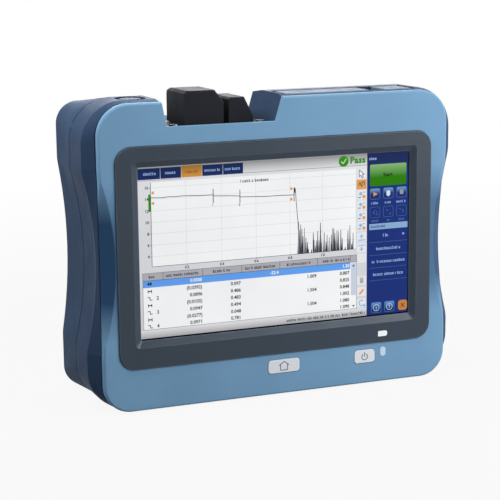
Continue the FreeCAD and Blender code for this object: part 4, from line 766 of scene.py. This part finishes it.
gloss = run_at(rgb(30, 48, 112), rgb(110, 152, 196), 22.2, 24.9, "ui_gloss")
screen_piece("panel_tiles", [tile(x, TILES_Z) for x in TILES_X], MARK, gloss)
frames = []
for x, heights in [(x, TILES_Z) for x in TILES_X] + [(x, LOW_Z) for x in LOW_X]:
    frames += closed(tile(x, heights), 0.2)
screen_piece("panel_frames", frames, DETAIL, display("ui_edge", rgb(84, 122, 176)))
screen_piece("panel_play", [[(54.0, 21.0), (56.5, 22.1), (54.0, 23.3)]], DETAIL, AMBER)
save = [rounded(61.7, 63.9, 21.1, 23.6, 0.2), box(62.3, 63.3, 20.6, 21.1)]
screen_piece("panel_save", save, DETAIL, display("ui_ice", rgb(206, 222, 240)))
page = [rounded(69.7, 71.8, 21.2, 23.6, 0.2)]
screen_piece("panel_page", page, DETAIL, display("ui_stone", rgb(150, 150, 156)))

faint = []
for x in TILES_X:
    faint += closed(tile(x, FAINT_Z, 0.9, 3), 0.16)
faint += stroke([(55.2, 13.4), (53.6, 12.3), (55.2, 11.2)], 0.24)
faint += stroke([(55.9, 13.2), (55.9, 11.0), (57.0, 11.0)], 0.2)
for corner in ([(61.9, 13.7), (61.9, 12.9), (62.9, 12.9)], [(64.2, 11.9), (64.2, 11.0), (63.3, 11.0)],
               [(69.4, 13.6), (70.6, 12.8)], [(71.0, 12.9), (72.2, 12.0), (71.2, 11.1)]):
    faint += stroke(corner, 0.24)
faint += [level(z, 51.8, 74.1, 0.16) for z in (-3.9, -10.9, -17.8, -24.7)]
screen_piece("panel_outlines", faint, MARK, TILE)
screen_piece("panel_strip", [box(51.6, 74.4, 3.0, 6.2)], MARK, SKY)
deep = display("ui_deep", rgb(40, 62, 110))
screen_piece("panel_strip_marks", dashes(52.4, 61.4, 4.7, 1.3), DETAIL, deep)
texts = words(17.4, 1.4, (52.6, 57.2), (60.8, 65.2), (67.6, 73.4))
texts += dashes(59.8, 63.2, -0.3, 1.7)
texts += dashes(55.8, 69.8, -7.4, 1.6)
texts += dashes(53.2, 72.8, -14.4, 1.6)
texts += dashes(54.0, 72.2, -21.4, 1.6)
texts += dashes(51.4, 56.4, 41.2, 1.5)
texts += [[(71.4, -1.0), (72.8, -0.3), (71.4, 0.5)]]
screen_piece("panel_marks", texts, DETAIL, SOFT)
dim = words(7.8, 1.2, (52.6, 57.4), (62.0, 64.0), (69.0, 72.4))
screen_piece("panel_marks_dim", dim, DETAIL, TILE)

low_gloss = run_at(rgb(32, 54, 108), rgb(98, 142, 196), -40.5, -37.2, "ui_gloss_low")
screen_piece("panel_low_tiles", [tile(x, LOW_Z) for x in LOW_X], MARK, low_gloss)
rings = []
for x in LOW_X:
    rings += ring_part(x, -39.7, 1.9, 0.34)
rings += [box(55.8, 56.2, -40.4, -39.2), box(55.8, 56.2, -40.9, -40.6)]
rings += stroke([(63.2, -39.0), (64.6, -39.0)], 0.34)
rings += stroke([(63.9, -39.0), (63.9, -40.6)], 0.34)
screen_piece("panel_low_marks", rings, DETAIL, display("ui_frost", rgb(176, 200, 232)))
rust = display("ui_rust", rgb(196, 128, 62))
screen_piece("panel_exit", [rounded(69.2, 74.6, *LOW_Z, 1.5)], MARK, rust)
cross = stroke([(70.8, -38.6), (73.0, -40.8)], 0.5) + stroke([(73.0, -38.6), (70.8, -40.8)], 0.5)
screen_piece("panel_exit_mark", cross, DETAIL, display("ui_umber", rgb(120, 74, 40)))


# ---------------------------------------------------------------- printed marks on the case

PRINT = 0.03              # how far a printed mark stands off its surface
BATTERY_X, BATTERY_Z = 59.6, -53.6   # the battery mark's place, from the display's centre


def printed(name, outlines, colour, body, spot):
    thin_piece(name, outlines, PRINT, colour, body, spot)


def face_spot(node):
    """Points on a node's front face, with x and z measured from the centre of its box."""
    low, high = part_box(node)
    cx, cz, y = (low.x + high.x) / 2, (low.z + high.z) / 2, low.y
    return lambda x, z, rise: (cx + x * MM, y - rise * MM, cz + z * MM)


def top_spot(node):
    """Points on a node's top face, with x and y measured from the centre of its box."""
    low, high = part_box(node)
    cx, cy, z = (low.x + high.x) / 2, (low.y + high.y) / 2, high.z
    return lambda x, y, rise: (cx + x * MM, cy + y * MM, z + rise * MM)


def on_bezel(x, z, rise):
    """Points on the bezel's face, measured from the battery mark's place."""
    low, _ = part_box("screen_bezel")
    return (SCREEN_X + (BATTERY_X + x) * MM, low.y - rise * MM, SCREEN_Z + (BATTERY_Z + z) * MM)


PRINT_DARK = moulded("print_dark", rgb(64, 70, 80), 0.5, grain=0.1, wear_and_highlight=0.0)
PRINT_WHITE = moulded("print_white", rgb(236, 238, 240), 0.5, grain=0.1, wear_and_highlight=0.0)
PRINT_SLATE = moulded("print_slate", rgb(50, 62, 80), 0.5, grain=0.1, wear_and_highlight=0.0)

house = stroke([(-2.9, 0.4), (0.0, 2.4), (2.9, 0.4)], 0.42)
house += stroke([(-2.0, 0.8), (-2.0, -2.2), (2.0, -2.2), (2.0, 0.8)], 0.42)
printed("home_mark", house, PRINT_DARK, "home_key", face_spot("home_button"))
power = ring_part(0, -0.2, 1.9, 0.42, 118, 422)
power += [upright(0, -0.2, 2.3, 0.42)]
printed("power_mark", power, PRINT_DARK, "power_key", face_spot("power_button"))

tip = [(1.6, -1.5), (2.2, -1.3), (2.7, -0.5), (2.7, 0.5), (2.2, 1.3), (1.6, 1.5)]
cell = [rounded(-2.8, 1.6, -1.5, 1.5, 0.4), tip]
printed("battery_mark", cell, PRINT_WHITE, "case", on_bezel)

signs = []
for x in (-12.7, 5.8, 16.8):
    signs += closed(rounded(x - 2.0, x + 2.0, -1.8, 1.8, 0.5, 3), 0.55)
signs += [box(-13.6, -11.8, -0.5, 0.4), box(5.0, 6.6, -0.2, 0.2), box(16.0, 17.6, -0.2, 0.2)]
printed("data_door_marks", signs, PRINT_SLATE, "data_door", top_spot("data_door"))
plug = ring_part(0.6, 0, 1.9, 0.55) + [disc(0.6, 0, 0.6, 14)]
printed("dc_door_mark", plug, PRINT_SLATE, "dc_door", top_spot("dc_door"))


# ---------------------------------------------------------------- floor and world

FLOOR = 6.0               # half the floor's width
FLOOR_DROP = 0.0002       # how far the floor lies below the feet


def paper(name):
    """A plain pale surface that is seen a little brighter than it is lit, and white far off."""
    made = bpy.data.materials.new(name)
    made.use_nodes = True
    made.node_tree.nodes.clear()
    graph = Graph(made.node_tree)
    diffuse = graph.add("ShaderNodeBsdfDiffuse")
    diffuse.inputs["Color"].default_value = (0.26, 0.26, 0.26, 1)
    glow = graph.add("ShaderNodeEmission")
    length = graph.add("ShaderNodeVectorMath", operation="LENGTH")
    graph.link(graph.add("ShaderNodeTexCoord").outputs["Object"], length.inputs[0])
    far = graph.spread(length.outputs["Value"], 0.92, 1.0, 0.25, 0.8)
    share = graph.math("MULTIPLY", graph.seen(), far)
    surface = graph.between(share, diffuse.outputs["BSDF"], glow.outputs["Emission"])
    graph.link(surface, graph.add("ShaderNodeOutputMaterial").inputs["Surface"])
    return made


def studio(name):
    """A world that gives a little cool light, and is white where it is seen."""
    made = bpy.data.worlds.new(name)
    made.use_nodes = True
    made.node_tree.nodes.clear()
    graph = Graph(made.node_tree)

    def background(colour, strength):
        shader = graph.add("ShaderNodeBackground")
        shader.inputs["Color"].default_value = colour
        shader.inputs["Strength"].default_value = strength
        return shader.outputs["Background"]

    ambient = background((0.90, 0.95, 1.0, 1), 0.17)
    white = background((1, 1, 1, 1), 1.0)
    surface = graph.between(graph.seen(), ambient, white)
    graph.link(surface, graph.add("ShaderNodeOutputWorld").inputs["Surface"])
    return made


floor_data = bpy.data.meshes.new("floor")
corners = [(x, y, 0) for x, y in box(-FLOOR, FLOOR, -FLOOR, FLOOR)]
floor_data.from_pydata(corners, [], [(0, 1, 2, 3)])
floor = bpy.data.objects.new("floor", floor_data)
bpy.context.scene.collection.objects.link(floor)
floor.data.materials.append(paper("paper"))
floor.location.z = cad_low.z - FLOOR_DROP
bpy.context.scene.world = studio("studio")


# ---------------------------------------------------------------- lamps and camera

centre = (cad_low + cad_high) / 2


def lamp(name, position, size, power):
    """A square soft box aimed at the object's centre."""
    data = bpy.data.lights.new(name, "AREA")
    data.shape = "SQUARE"
    data.size = size
    data.energy = power
    made = bpy.data.objects.new(name, data)
    bpy.context.scene.collection.objects.link(made)
    made.location = position
    made.rotation_euler = (centre - made.location).to_track_quat("-Z", "Y").to_euler()


lamp("key_light", (0.42, -0.40, 0.30), 0.4, 4.4)
lamp("top_light", (-0.1, 0.35, 1.5), 1.1, 7.5)
lamp("fill_light", (-0.26, -0.05, 0.36), 0.16, 0.95)
lamp("back_light", (0.4, 1.3, 0.6), 1.0, 13)

AZIMUTH, ELEVATION, ROLL, DISTANCE = -21.943, 10.915, -0.585, 0.78115   # fitted to the photo
TARGET = Vector((SCREEN_X - 0.016989, cad_low.y, SCREEN_Z - 0.001611))
camera_data = bpy.data.cameras.new("camera")
camera_data.lens = 109.44
camera_data.sensor_width = 36
camera_data.dof.use_dof = False
camera = bpy.data.objects.new("camera", camera_data)
bpy.context.scene.collection.objects.link(camera)
turn, lift, lean = (math.radians(angle) for angle in (AZIMUTH, ELEVATION, ROLL))
away = Vector((math.sin(turn) * math.cos(lift), -math.cos(turn) * math.cos(lift), math.sin(lift)))
right_of = Vector((math.cos(turn), math.sin(turn), 0))
sideways = right_of * math.cos(lean) + away.cross(right_of) * math.sin(lean)
camera.location = TARGET + away * DISTANCE
camera.rotation_euler = Matrix((sideways, away.cross(sideways), away)).transposed().to_euler()
bpy.context.scene.camera = camera
bpy.context.scene.view_settings.view_transform = "Standard"
